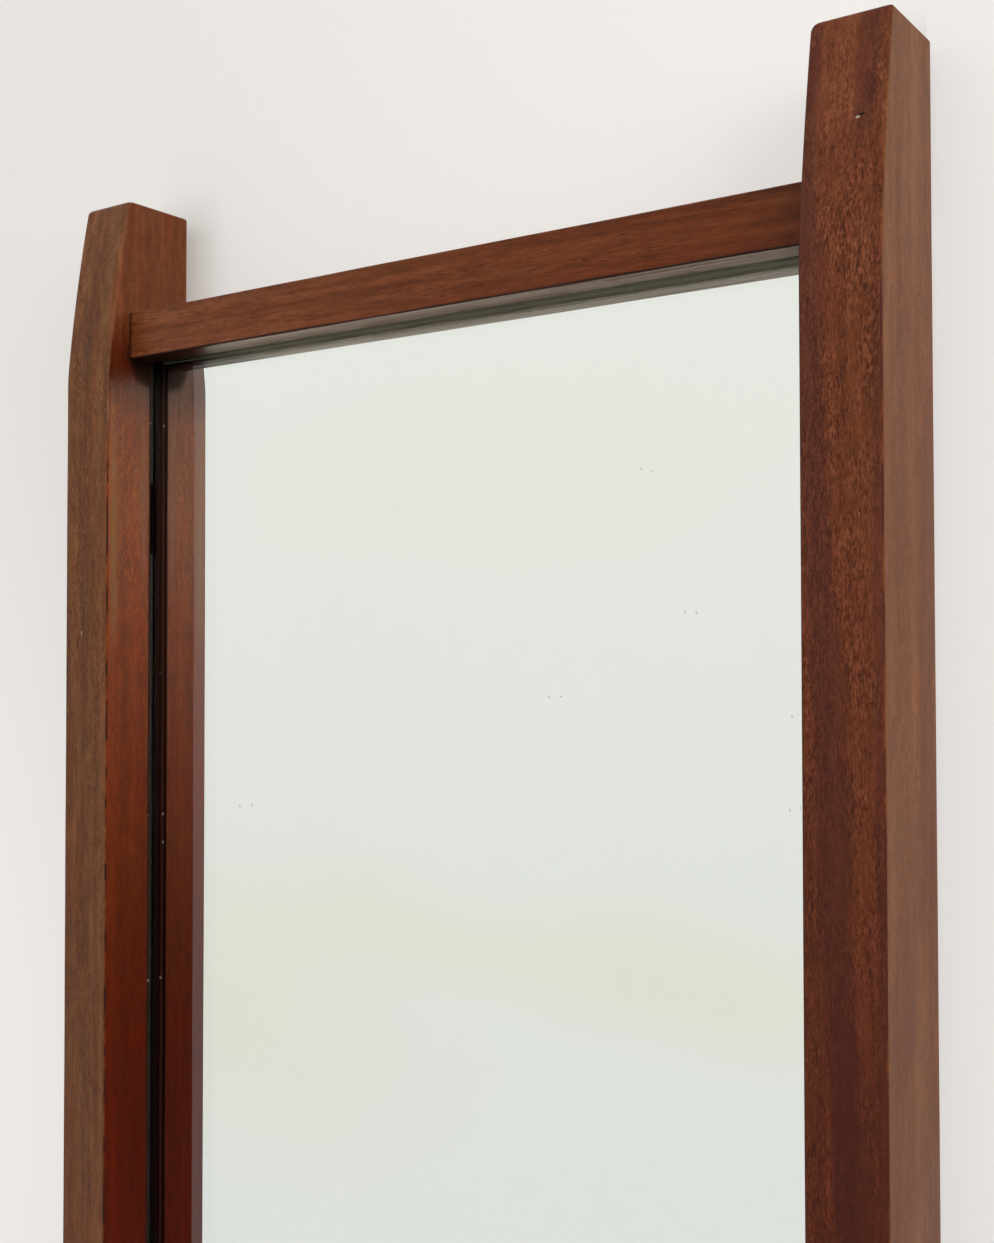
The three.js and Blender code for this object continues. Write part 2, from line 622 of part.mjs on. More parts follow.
// A round wire along a closed flat path on (X, Z), at one Y.
function closedWire(path, radius, sides, y) {
  const points = path.getPoints(WIRE_STEPS).filter((spot, index, all) => {
    const before = all[(index + all.length - 1) % all.length];
    return spot.distanceTo(before) > MERGE_DISTANCE;
  });
  const count = points.length;
  const positions = [];
  const triangles = [];
  for (let i = 0; i < count; i += 1) {
    const along = points[(i + 1) % count].clone().sub(points[(i + count - 1) % count]).normalize();
    for (let j = 0; j < sides; j += 1) {
      const turn = (2 * Math.PI * j) / sides;
      const out = radius * Math.cos(turn);
      positions.push(points[i].x + along.y * out, y + radius * Math.sin(turn), points[i].y - along.x * out);
      const here = i * sides + j;
      const beside = i * sides + ((j + 1) % sides);
      const next = ((i + 1) % count) * sides + j;
      const across = ((i + 1) % count) * sides + ((j + 1) % sides);
      triangles.push(here, beside, next, beside, across, next);
    }
  }
  const geometry = new THREE.BufferGeometry();
  geometry.setAttribute('position', new THREE.Float32BufferAttribute(positions, 3));
  geometry.setIndex(triangles);
  return geometry;
}

for (const [side, right] of SIDES) {
  add(`${side}_hanger_plate`, hangerPlate(side, right), STEEL);
  const ring = closedWire(ringPath(), RING_WIRE / 2, WIRE_SIDES, PIVOT_Y);
  add(`${side}_hanger_ring`, ring.translate(right * SCREW_LINE_X, 0, 0), STEEL);
}
for (const screw of HANGER_SCREWS) {
  add(screw.name, woodScrew(screw, BACK_Y, SUNK_HEAD), STEEL);
}

// ---------------------------------------------------------------- wall bumpers

for (const [side, right] of SIDES) {
  const profile = [
    [0, 0],
    [BUMPER_DIAMETER / 2, 0],
    [BUMPER_FACE_DIAMETER / 2, BUMPER_HEIGHT],
    [0, BUMPER_HEIGHT],
  ];
  const place = point(right * SCREW_LINE_X, BACK_Y, STILE_BOTTOM_Z + BUMPER_RISE);
  add(`${side}_wall_bumper`, turned(profile, ROUND, place, point(0, 1, 0)), RUBBER);
}

export default group;
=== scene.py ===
"""Pier mirror: plate glass in a slim hardwood frame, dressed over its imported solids.

Lengths are in metres. +X is the viewer's right, +Y points into the wall and +Z is up. The origin
lies on the line between the two hanger rings' pivots, in the plane of the frame's back.
"""

import json
import math

import bmesh
import bpy
import numpy as np
from bpy.props import FloatProperty, FloatVectorProperty, PointerProperty
from bpy.types import NodeSocket, Operator, Panel, PropertyGroup
from mathutils import Matrix, Vector


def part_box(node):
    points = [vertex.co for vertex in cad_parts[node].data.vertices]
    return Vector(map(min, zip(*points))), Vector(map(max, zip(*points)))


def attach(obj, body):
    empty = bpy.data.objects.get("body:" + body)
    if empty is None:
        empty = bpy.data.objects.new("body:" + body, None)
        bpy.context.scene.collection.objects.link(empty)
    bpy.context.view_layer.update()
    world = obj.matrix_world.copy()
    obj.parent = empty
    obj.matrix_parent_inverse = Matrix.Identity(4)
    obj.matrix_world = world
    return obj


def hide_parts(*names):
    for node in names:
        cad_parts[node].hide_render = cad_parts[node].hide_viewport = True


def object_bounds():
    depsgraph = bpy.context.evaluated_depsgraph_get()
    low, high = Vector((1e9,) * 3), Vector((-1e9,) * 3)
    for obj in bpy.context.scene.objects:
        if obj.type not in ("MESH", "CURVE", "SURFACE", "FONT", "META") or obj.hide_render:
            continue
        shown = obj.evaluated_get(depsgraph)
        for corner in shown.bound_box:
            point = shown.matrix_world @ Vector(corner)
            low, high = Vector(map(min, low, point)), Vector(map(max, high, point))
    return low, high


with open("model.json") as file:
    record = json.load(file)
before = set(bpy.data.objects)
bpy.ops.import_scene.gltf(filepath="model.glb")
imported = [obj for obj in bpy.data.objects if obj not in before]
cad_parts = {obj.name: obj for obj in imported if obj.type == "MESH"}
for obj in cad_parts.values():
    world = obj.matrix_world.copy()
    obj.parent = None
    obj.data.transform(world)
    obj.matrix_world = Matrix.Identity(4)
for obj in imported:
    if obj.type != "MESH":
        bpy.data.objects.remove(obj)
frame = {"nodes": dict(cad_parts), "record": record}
CAD_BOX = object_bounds()

bl_info = {
    "name": "Pier Mirror",
    "version": (1, 0, 0),
    "blender": (4, 5, 0),
    "location": "View3D > Sidebar > Pier Mirror",
    "description": "Builds the finished pieces of a wall mirror over its packed solids",
    "category": "Object",
}

SIDES = ("left", "right")
PLATE_LOW, PLATE_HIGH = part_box("mirror_glass")
STILE_LOW, STILE_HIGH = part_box("right_stile")
RAIL_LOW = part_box("top_rail")[0]
BUTTON_NAMES = tuple(
    name for name in frame["nodes"] if "turn_button" in name and not name.endswith("screw")
)
CAD_BODY = {
    node: body
    for body, nodes in frame["record"]["behaviour"]["bodies"].items()
    for node in nodes
}

WELD = 2e-7  # points closer than this become one
QUARTER = math.pi / 2
END_REACH = 0.0032  # sections this close to a stile's end follow its rounding
END_STEPS, LEAN_STEPS, BLEND_STEPS, STRAIGHT_STEPS = 12, 25, 9, 240  # of a stile's sections
RAIL_STEPS = 120
RAIL_OVERLAP = 0.0002  # a rail's ends run this far into the stiles, past its solid's
COAT_EDGE = 0.0004  # the silvering and its paint stop this far inside the plate's edge

# Every screw: sizes, and the shares of its shank's radius and length that the core, the thread's
# ridge and the plain neck take.
HEAD_RADIUS, SHANK_RADIUS, POINT_LENGTH, THREAD_PITCH = 0.0032, 0.0015, 0.004, 0.0013
CORE, RIDGE, NECK = 0.82, 0.18, 0.3

# Screws of the turn buttons and of the hanger plates: depth of the slot and length of the shank.
BUTTON_SCREW, HANGER_SCREW = (0.0009, 0.016), (0.0004, 0.01725)
BUTTON_CLEARANCE = 0.0001  # from a turn button to its screw's head
PLATE_FACE = 0.00125  # a hanger plate's outer face, where its screws' heads sit
FLUTES, FLUTE_DEPTH = 16, 0.00018

# Stops along a flat face, crowded towards its edges so that the shading stays flat.
FLAT_STOPS = np.array([0.0, 0.03, 0.15, 0.4, 0.6, 0.85, 0.97, 1.0])
INNER_STOPS = FLAT_STOPS[1:-1]
FLAT_WEAR = np.zeros(len(INNER_STOPS))
ARC_STEPS = 7
ARC_WEAR = np.sin(np.linspace(0, math.pi, ARC_STEPS))

# Plain materials: light and dark tone, cells per metre, roughness and, for cork, relief.
BEECH = ((0.62, 0.40, 0.21), (0.45, 0.26, 0.12), (40.0, 900.0, 900.0), 0.6)
PINE = ((0.66, 0.46, 0.24), (0.45, 0.26, 0.11), (500.0, 500.0, 12.0), 0.65)
CORK = ((0.42, 0.24, 0.11), (0.14, 0.065, 0.03), (900.0, 900.0, 900.0), 0.9, 0.00015)


# ------------------------------------------------------------------ sizes and colours


def length_of(name, description, default, **options):
    """A length property in metres."""
    return FloatProperty(
        name=name, description=description, default=default, unit="LENGTH", **options
    )


def lengths_of(name, description, default, **options):
    """A property of several lengths in metres."""
    return FloatVectorProperty(
        name=name,
        description=description,
        size=len(default),
        default=default,
        unit="LENGTH",
        **options,
    )


def share_of(name, description, default):
    """A property between nothing and all."""
    return FloatProperty(
        name=name, description=description, default=default, min=0.0, max=1.0, subtype="FACTOR"
    )


def angle_of(name, description, degrees):
    """An angle property with its default in degrees."""
    return FloatProperty(
        name=name, description=description, default=math.radians(degrees), subtype="ANGLE"
    )


def colour(name, description, default):
    """A colour property with its linear default."""
    return FloatVectorProperty(
        name=name, description=description, subtype="COLOR", min=0.0, max=1.0, default=default
    )


class PIERMIRROR_PG_sizes(PropertyGroup):
    """Sizes of the woodwork and fittings that the solids' boxes don't give."""

    taper_length: length_of(
        "Lean Length", "Stretch at each end of a stile where its front leans back", 0.072
    )
    taper_setback: length_of(
        "Lean Setback", "How far a stile's front has leaned back at its very end", 0.0105
    )
    taper_middle: length_of(
        "Lean Middle", "Setback of the lean's control point, halfway along", 0.0036
    )
    taper_blend: length_of("Lean Blend", "Half the length of the soft start of the lean", 0.005)
    arris: length_of("Arris", "Radius of the hand-eased long edges", 0.0009)
    left_ends: lengths_of(
        "Left Stile's Ends",
        "Rounding of the left stile's ends: inner side, outer side, front and back",
        (0.0012, 0.0022, 0.0020, 0.0012),
    )
    right_ends: lengths_of(
        "Right Stile's Ends",
        "Rounding of the right stile's ends: inner side, outer side, front and back",
        (0.0030, 0.0010, 0.0012, 0.0010),
    )
    soft_arris: length_of(
        "Soft Arris", "Radius of the inner front edge where it leans back, worn there", 0.0021
    )
    unevenness: length_of(
        "Unevenness", "How far the planed faces wander from flat", 0.00004, precision=5
    )
    rebate: length_of("Rebate", "How far the rebate runs in under the lip", 0.008)
    lip: length_of("Lip", "From a stile's front face to the rebate", 0.022)
    wire: length_of("Ring Wire", "Diameter of the hanger rings' wire", 0.0022)
    slot: length_of("Screw Slot", "Width of the slots in the screw heads", 0.0008)


class PIERMIRROR_PG_finish(PropertyGroup):
    """Colours and finishes of the woodwork, glass and fittings."""

    timber_light: colour("Timber Light", "Lightest streaks of the hardwood", (0.30, 0.092, 0.038))
    timber_mid: colour("Timber Middle", "Middle tone of the hardwood", (0.165, 0.041, 0.011))
    timber_dark: colour("Timber Dark", "Darkest streaks of the hardwood", (0.062, 0.013, 0.005))
    heart: colour("Heart Stripe", "Purple-brown stripes along the grain", (0.070, 0.016, 0.0105))
    # Also used as painted light on the left stile's inward face.
    gold_streak_and_light: colour("Gold Stripe", "Golden streak in the grain", (0.24, 0.095, 0.018))
    # Partly painted shade: this near black also darkens corners, the lip's back and arrises where
    # shade falls.
    gathered_finish_and_shade: colour("Gathered Finish", "Old finish and dirt in the corners", (0.020, 0.006, 0.004))
    worn: colour("Worn Edge", "Rubbed wood along the arrises", (0.42, 0.22, 0.14))
    glass_tint: colour("Glass Tint", "Cast of the plate glass", (0.955, 0.975, 0.955))
    silver: colour("Silver", "Reflecting layer behind the glass", (0.94, 0.94, 0.93))
    backing_paint: colour("Backing Paint", "Paint over the silvering", (0.12, 0.10, 0.09))
    brass: colour("Brass", "Turn buttons and their screws", (0.62, 0.42, 0.17))
    steel: colour("Steel", "Hanger plates, rings and their screws", (0.55, 0.55, 0.53))
    timber_roughness: share_of("Timber Roughness", "Roughness of the rubbed finish", 0.36)


class PIERMIRROR_PG_stage(PropertyGroup):
    """The camera, the wall, the floor and the light."""

    eye: lengths_of(
        "Camera Place",
        "Where the camera stands",
        (0.3245, -0.4460, -0.13215),
        subtype="TRANSLATION",
        precision=5,
    )
    yaw: angle_of("Camera Yaw", "How far the camera is turned left of straight at the wall", 35.0)
    pitch: angle_of("Camera Pitch", "How far the camera is tilted up", 1.47)
    roll: angle_of("Camera Roll", "How far the camera is rolled about its line of sight", -0.09)
    lens: FloatProperty(
        name="Lens",
        description="Focal length in millimetres for a 36 mm long side",
        default=43.67,
        min=1.0,
    )
    wall: colour("Wall", "Plain wall behind the mirror", (0.86, 0.835, 0.81))
    floor: colour("Floor", "Plain floor under the mirror", (0.80, 0.79, 0.77))
    room: colour("Room", "Light that comes from in front of the wall", (0.84, 0.84, 0.82))
    image_high: colour(
        "High Image", "The room's upper part as the mirror shows it", (0.93, 0.93, 0.91)
    )
    image_low: colour(
        "Low Image", "The room's lower part as the mirror shows it", (0.86, 0.865, 0.86)
    )
    shade: share_of(
        "Low Shade", "How much darker the room is low on the right, in front of the wall", 0.95
    )
    key_watts: FloatProperty(
        name="Key Lamp",
        description="Power of the large soft lamp in front on the right, in watts",
        default=20.0,
        min=0.0,
    )


# ------------------------------------------------------------------ surfaces


def grid_shell(grid, wrap_rows=False, wrap_columns=True, edge=None):
    """A grid of points as (points, quads, edge values): each point joins the next in its row
    and in its column, and the last one joins the first where the grid is wrapped."""
    rows, columns = grid.shape[:2]
    row, column = np.meshgrid(
        np.arange(rows if wrap_rows else rows - 1),
        np.arange(columns if wrap_columns else columns - 1),
        indexing="ij",
    )
    row, column = row.ravel(), column.ravel()
    below, beside = (row + 1) % rows, (column + 1) % columns
    quads = np.stack(
        [
            row * columns + column,
            row * columns + beside,
            below * columns + beside,
            below * columns + column,
        ],
        axis=1,
    )
    values = np.zeros((rows, columns)) if edge is None else np.broadcast_to(edge, (rows, columns))
    return grid.reshape(-1, 3), quads, values.reshape(-1)


def capped(rings, first_hub, last_hub, edge=None):
    """Closes a stack of rings at both ends: each hub is repeated as a ring of its own, which
    welding turns into one pole."""
    count = rings.shape[1]
    first = np.broadcast_to(np.asarray(first_hub, float), (1, count, 3))
    last = np.broadcast_to(np.asarray(last_hub, float), (1, count, 3))
    grid = np.concatenate([first, rings, last])
    if edge is not None:
        edge = np.broadcast_to(edge, rings.shape[:2])
        edge = np.concatenate([edge[:1], edge, edge[-1:]])
    return grid_shell(grid, edge=edge)


def welded(points, quads, values):
    """Makes coincident points one, turns quads with one collapsed side into triangles, and
    drops those with no area left."""
    keys = np.round(points / WELD).astype(np.int64)
    _, first, place = np.unique(keys, axis=0, return_index=True, return_inverse=True)
    corners = place.reshape(-1)[quads]
    repeated = corners == np.roll(corners, -1, axis=1)
    crossed = (corners[:, 0] == corners[:, 2]) | (corners[:, 1] == corners[:, 3])
    whole = corners[~repeated.any(axis=1) & ~crossed]
    pinched = (repeated.sum(axis=1) == 1) & ~crossed
    triangles = corners[pinched][~repeated[pinched]].reshape(-1, 3)
    return points[first], whole, triangles, values[first]


def make_piece(name, shells, material, stands_for, sharp=math.radians(34)):
    """One object from closed shells: welded, facing outwards, smooth except at sharp edges,
    and riding on the body of the first node it stands for."""
    starts = np.cumsum([0] + [len(shell[0]) for shell in shells[:-1]])
    points = np.concatenate([shell[0] for shell in shells])
    quads = np.concatenate([shell[1] + start for shell, start in zip(shells, starts)])
    values = np.concatenate([shell[2] for shell in shells])
    points, quads, triangles, values = welded(points, quads, values)
    mesh = bpy.data.meshes.new(name)
    mesh.from_pydata(points.tolist(), [], quads.tolist() + triangles.tolist())
    worn = mesh.attributes.new("edge", "FLOAT", "POINT")
    worn.data.foreach_set("value", values.astype(np.float32))
    turned = bmesh.new()
    turned.from_mesh(mesh)
    bmesh.ops.recalc_face_normals(turned, faces=turned.faces)
    turned.to_mesh(mesh)
    turned.free()
    mesh.shade_smooth()
    mesh.set_sharp_from_angle(angle=sharp)
    mesh.materials.append(material)
    mesh.validate()
    piece = bpy.data.objects.new(name, mesh)
    bpy.context.scene.collection.objects.link(piece)
    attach(piece, CAD_BODY[stands_for[0]])
    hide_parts(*stands_for)
    return piece


def arc(middle_a, middle_b, radius, start, stop, steps=ARC_STEPS):
    """Points round a quarter or half circle, as two arrays: middle plus radius times the cosine
    and the sine of the turn."""
    turn = np.linspace(start, stop, steps)
    return middle_a + radius * np.cos(turn), middle_b + radius * np.sin(turn)


def run(from_a, from_b, to_a, to_b, stops):
    """Points on a straight line between two places, at the given fractions of its length."""
    return from_a + (to_a - from_a) * stops, from_b + (to_b - from_b) * stops


def middle(low, high):
    """The middle of a box, as three numbers."""
    return tuple((a + b) / 2 for a, b in zip(low, high))


def joined(spans):
    """Spans of points end to end, as two arrays."""
    return [np.concatenate([span[k] for span in spans], axis=-1) for k in (0, 1)]


def outward(a, b):
    """The outward directions of a closed path's points: the line between each point's two
    neighbours, turned a quarter to the right."""
    along_a = np.roll(a, -1) - np.roll(a, 1)
    along_b = np.roll(b, -1) - np.roll(b, 1)
    size = np.hypot(along_a, along_b)
    return along_b / size, -along_a / size


def wander(place, seed):
    """A slow wave between -1 and 1: the mean of three sines whose lengths share no factor."""
    lengths = np.array([0.31, 0.137, 0.0613])
    turns = 2 * math.pi * place[..., None] / lengths + seed * np.array([1.0, 2.3, 4.1])
    return np.sin(turns).mean(axis=-1)


def quadratic(a, b, c, t):
    """The quadratic curve (1 - t) squared a + 2 t (1 - t) b + t squared c."""
    return (1 - t) ** 2 * a + 2 * t * (1 - t) * b + t**2 * c


def lean(sizes):
    """Distances from a stile's end, and the front's setback at each.

    Near the end the setback falls in a straight line. Then comes one long quadratic curve
    towards a control point halfway along, and a short one that eases into the flat front."""
    length, blend, tip = sizes.taper_length, sizes.taper_blend, sizes.taper_setback
    half = length / 2
    steep = (tip - sizes.taper_middle) / half
    soft = sizes.taper_middle / half
    near = END_REACH * (1 - np.cos(np.linspace(0, QUARTER, END_STEPS)))
    t = np.linspace(0, 1, LEAN_STEPS)[1:]
    long_place = quadratic(END_REACH, half, length - blend, t)
    long_back = quadratic(tip - steep * END_REACH, sizes.taper_middle, soft * blend, t)
    u = np.linspace(0, 1, BLEND_STEPS)[1:]
    short_place = quadratic(length - blend, length, length + blend, u)
    short_back = quadratic(soft * blend, 0.0, 0.0, u)
    place = np.concatenate([near, long_place, short_place])
    back = np.concatenate([tip - steep * near, long_back, short_back])
    return place, back


def stile_stations(sizes):
    """Heights and front setbacks of the stile's sections from the top down, and which of them
    the rebate cuts. Each stop of the rebate is there twice: whole and cut."""
    place, back = lean(sizes)
    top, bottom = STILE_HIGH.z, STILE_LOW.z
    straight = np.linspace(top - place[-1], bottom + place[-1], STRAIGHT_STEPS)[1:-1]
    height = np.concatenate([top - place, straight, (bottom + place)[::-1]])
    setback = np.concatenate([back, np.zeros(len(straight)), back[::-1]])
    stop_top = RAIL_LOW.z + sizes.rebate
    stop_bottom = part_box("bottom_rail")[1].z - sizes.rebate
    for stop in (stop_top, stop_bottom):
        level = np.interp(-stop, -height, setback)
        at = np.searchsorted(-height, -stop)
        height = np.insert(height, at, [stop, stop])
        setback = np.insert(setback, at, [level, level])
    cut = (height < stop_top) & (height > stop_bottom)
    cut[np.flatnonzero(height == stop_top)[1]] = True
    cut[np.flatnonzero(height == stop_bottom)[0]] = True
    return height, setback, cut


def end_inset(depth, radius):
    """How far a rounded end draws a side in, at a depth below the end: the radius less the
    height of its circle there."""
    left = np.clip(radius - depth, 0.0, radius)
    return radius - np.sqrt(radius**2 - left**2)


def stile_shell(sizes, side, ends, soft, seed):
    """A stile as one loft down its length.

    Every section is a rounded rectangle on X and Y. Between the stops of the rebate its inner
    back corner gives way to the rebate's step; the two sections at a stop share one height, so
    the faces between them are the rebate's end wall."""
    height, setback, cut = (column[:, None] for column in stile_stations(sizes))
    width = STILE_HIGH.x - STILE_LOW.x
    depth = np.minimum(STILE_HIGH.z - height, height - STILE_LOW.z)
    in_inner, in_outer, in_front, in_back = (end_inset(depth, radius) for radius in ends)
    arris = sizes.arris * (1 + 0.12 * wander(height, seed)) * np.ones_like(height)
    leaning = np.clip(setback / (0.4 * sizes.taper_setback), 0.0, 1.0)
    inner_arris = arris + (soft - arris) * leaning**2 * (3 - 2 * leaning)
    low = in_inner + sizes.unevenness * wander(height, seed + 1)
    high = width - in_outer
    front = STILE_LOW.y + setback + in_front + sizes.unevenness * (1 + wander(height, seed + 2))
    back = STILE_HIGH.y - in_back
    lip = np.full_like(height, STILE_LOW.y + sizes.lip)
    ledge = np.full_like(height, sizes.rebate)
    spans = [
        arc(low + inner_arris, front + inner_arris, inner_arris, 2 * QUARTER, 3 * QUARTER),
        run(low + inner_arris, front, high - arris, front, INNER_STOPS),
        arc(high - arris, front + arris, arris, 3 * QUARTER, 4 * QUARTER),
        run(high, front + arris, high, back - arris, INNER_STOPS),
        arc(high - arris, back - arris, arris, 0.0, QUARTER),
        run(high - arris, back, ledge, back, INNER_STOPS),
    ]
    whole = [
        run(ledge, back, low + arris, back, np.array([0.0, 0.25, 0.5, 0.75, 0.95])),
        arc(low + arris, back - arris, arris, QUARTER, 2 * QUARTER, 5),
        run(low, back - arris, low, lip, np.array([0.05, 0.25, 0.5, 0.75, 1.0])),
    ]
    stepped = [
        run(ledge, back, ledge, lip, np.linspace(0, 1, 8)),
        run(ledge, lip, low, lip, np.linspace(0, 1, 8)[1:]),
    ]
    spans.append([np.where(cut, s, w) for s, w in zip(joined(stepped), joined(whole))])
    spans.append(run(low, lip, low, front + inner_arris, INNER_STOPS))
    across, deep = joined(spans)
    wear = np.concatenate(3 * [ARC_WEAR, FLAT_WEAR])
    wear = np.append(wear, np.zeros(across.shape[1] - len(wear)))
    tall = np.broadcast_to(height, across.shape)
    rings = np.stack([side * (STILE_LOW.x + across), deep, tall], axis=2)
    hub_x = side * (STILE_LOW.x + width / 2)
    hub_y = (STILE_LOW.y + STILE_HIGH.y) / 2
    hubs = ((hub_x, hub_y, STILE_HIGH.z), (hub_x, hub_y, STILE_LOW.z))
    return capped(rings, *hubs, edge=np.broadcast_to(wear, across.shape))


def rail_shell(sizes, node, up, seed):
    """A rail as one loft along X. Its section on Y and Z has eased edges in front and behind,
    and the rebate's step on the side that faces the glass."""
    low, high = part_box(node)
    reach = high.x + RAIL_OVERLAP
    x = np.linspace(-reach, reach, RAIL_STEPS)[:, None]
    outer, inner = (high.z, low.z) if up > 0 else (low.z, high.z)
    arris = sizes.arris * (0.8 + 0.3 * wander(x, seed))
    front = low.y + sizes.unevenness * (1 + wander(x, seed + 1))
    back = np.full_like(x, high.y)
    lip = np.full_like(x, STILE_LOW.y + sizes.lip)
    outer = np.full_like(x, outer)
    step = np.full_like(x, inner + up * sizes.rebate)
    inner = inner + up * sizes.unevenness * (1 + wander(x, seed + 2))
    turn = np.linspace(0, QUARTER, ARC_STEPS)
    by_sine, by_cosine = arris * (1 - np.sin(turn)), arris * (1 - np.cos(turn))
    spans = [
        (front + by_sine, inner + up * by_cosine),
        run(front, inner + up * arris, front, outer - up * arris, INNER_STOPS),
        (front + by_cosine, outer - up * by_sine),
        run(front + arris, outer, back - arris, outer, INNER_STOPS),
        (back - by_sine, outer - up * by_cosine),
        run(back, outer - up * arris, back, step, FLAT_STOPS[1:]),
        run(back, step, lip, step, FLAT_STOPS[1:]),
        run(lip, step, lip, inner, FLAT_STOPS[1:]),
        run(lip, inner, front + arris, inner, INNER_STOPS),
    ]
    deep, tall = joined(spans)
    wear = np.concatenate([ARC_WEAR, FLAT_WEAR, ARC_WEAR, FLAT_WEAR, ARC_WEAR])
    wear = np.append(wear, np.zeros(deep.shape[1] - len(wear)))
    rings = np.stack([np.broadcast_to(x, deep.shape), deep, tall], axis=2)
    hub_y = STILE_LOW.y + sizes.lip - 0.004
    hub_z = (outer[0, 0] + step[0, 0]) / 2
    hubs = ((-reach, hub_y, hub_z), (reach, hub_y, hub_z))
    return capped(rings, *hubs, edge=np.broadcast_to(wear, deep.shape))


def slab_shell(low, high, ease, steps):
    """A flat plate as a stack of rectangles along Y: at each end the rectangles shrink by the
    ease times one minus the sine of the turn, while they close in on the face."""
    turn = np.linspace(0, QUARTER, steps + 1)
    shrink = ease * (1 - np.sin(turn))
    rise = ease * (1 - np.cos(turn))
    deep = np.concatenate([low[1] + rise, (high[1] - rise)[::-1]])[:, None]
    inset = np.concatenate([shrink, shrink[::-1]])[:, None]
    corner_x = np.array([0.0, 1.0, 1.0, 0.0])
    corner_z = np.array([0.0, 0.0, 1.0, 1.0])
    x = (low[0] + inset) + (high[0] - low[0] - 2 * inset) * corner_x
    z = (low[2] + inset) + (high[2] - low[2] - 2 * inset) * corner_z
    rings = np.stack([x, np.broadcast_to(deep, x.shape), z], axis=2)
    middle_x, _, middle_z = middle(low, high)
    edge = (inset <= 0).astype(float)
    return capped(rings, (middle_x, low[1], middle_z), (middle_x, high[1], middle_z), edge)


def turned_shell(radii, heights, place, sides):
    """A turned piece about the Y axis through a place: each ring has one radius and height."""
    turn = np.linspace(0, 2 * math.pi, sides, endpoint=False)
    x = place[0] + radii[:, None] * np.cos(turn)
    y = place[1] + np.broadcast_to(heights[:, None], x.shape)
    z = place[2] + radii[:, None] * np.sin(turn)
    return grid_shell(np.stack([x, y, z], axis=2))


def screw_head_shell(place, radius, rise, slot, slot_depth, turn):
    """A domed, slotted head as a height field over a disc.

    The height over the seat is the rise times the square root of one minus the squared share of
    the radius, and no more than the slot's floor inside the slot. The disc's columns run along
    the slot and crowd at its walls. A flat underside closes the shell."""
    half = slot / 2
    flank = np.sin(np.linspace(0, QUARTER, 9)) * (radius - half) + half
    inside = np.linspace(-half, half, 3)
    across = np.concatenate([-flank[::-1], inside, flank])
    in_slot = np.concatenate([np.zeros(9, bool), np.ones(3, bool), np.zeros(9, bool)])
    reach = np.sqrt(np.maximum(radius**2 - across**2, 0.0))
    share = np.sin(np.linspace(-QUARTER, QUARTER, 17))
    along = reach[:, None] * share
    distance = (across[:, None] ** 2 + along**2) / radius**2
    dome = rise * np.sqrt(np.maximum(1 - distance, 0.0))
    top = np.where(in_slot[:, None], np.minimum(dome, rise - slot_depth), dome)
    across = np.broadcast_to(across[:, None], along.shape)
    cos, sin = math.cos(turn), math.sin(turn)
    x = place[0] + across * cos - along * sin
    z = place[2] + across * sin + along * cos
    upper = np.stack([x, place[1] + top, z], axis=2)
    lower = np.stack([x, np.full_like(x, place[1]), z], axis=2)
    return [grid_shell(upper, wrap_columns=False), grid_shell(lower, wrap_columns=False)]


def screw_shank_shell(place, radius, length, point):
    """A shank that runs from a place towards -Y: a plain neck, then a core that narrows over the
    point, with a ridge on it that climbs one pitch with each turn."""
    turn = np.linspace(0, 2 * math.pi, 20, endpoint=False)
    depth = np.linspace(0, length, 76)[:, None]
    body = radius * CORE * np.clip((length - depth) / point, 0.0, 1.0)
    phase = 2 * math.pi * depth / THREAD_PITCH - turn
    ridge = radius * RIDGE * np.clip(np.cos(phase), 0.0, 1.0) ** 2
    threaded = np.clip((depth - length * NECK) / THREAD_PITCH, 0.0, 1.0)
    plain = radius * (1 - threaded)
    around = np.where(threaded < 1, np.maximum(plain, body), body + ridge * (body > 0))
    x = place[0] + around * np.cos(turn)
    z = place[2] + around * np.sin(turn)
    y = np.broadcast_to(place[1] - depth, x.shape)
    rings = np.stack([x, y, z], axis=2)
    return capped(rings, place, (place[0], place[1] - length, place[2]))


def button_outline():
    """A turn button seen from behind with its pivot at the origin and its tip along the first
    axis: a half circle at the heel, two straight flanks and a small half circle at the tip,
    with the outward directions of its points."""
    tip, tip_radius, heel, heel_radius = 0.017, 0.003, 0.003, 0.005
    stops = np.linspace(0, 1, 7)[1:-1]
    spans = [
        arc(tip, 0.0, tip_radius, -QUARTER, QUARTER, 15),
        run(tip, tip_radius, -heel, heel_radius, stops),
        arc(-heel, 0.0, heel_radius, QUARTER, 3 * QUARTER, 21),
        run(-heel, -heel_radius, tip, -tip_radius, stops),
    ]
    a, b = joined(spans)
    return a, b, *outward(a, b)


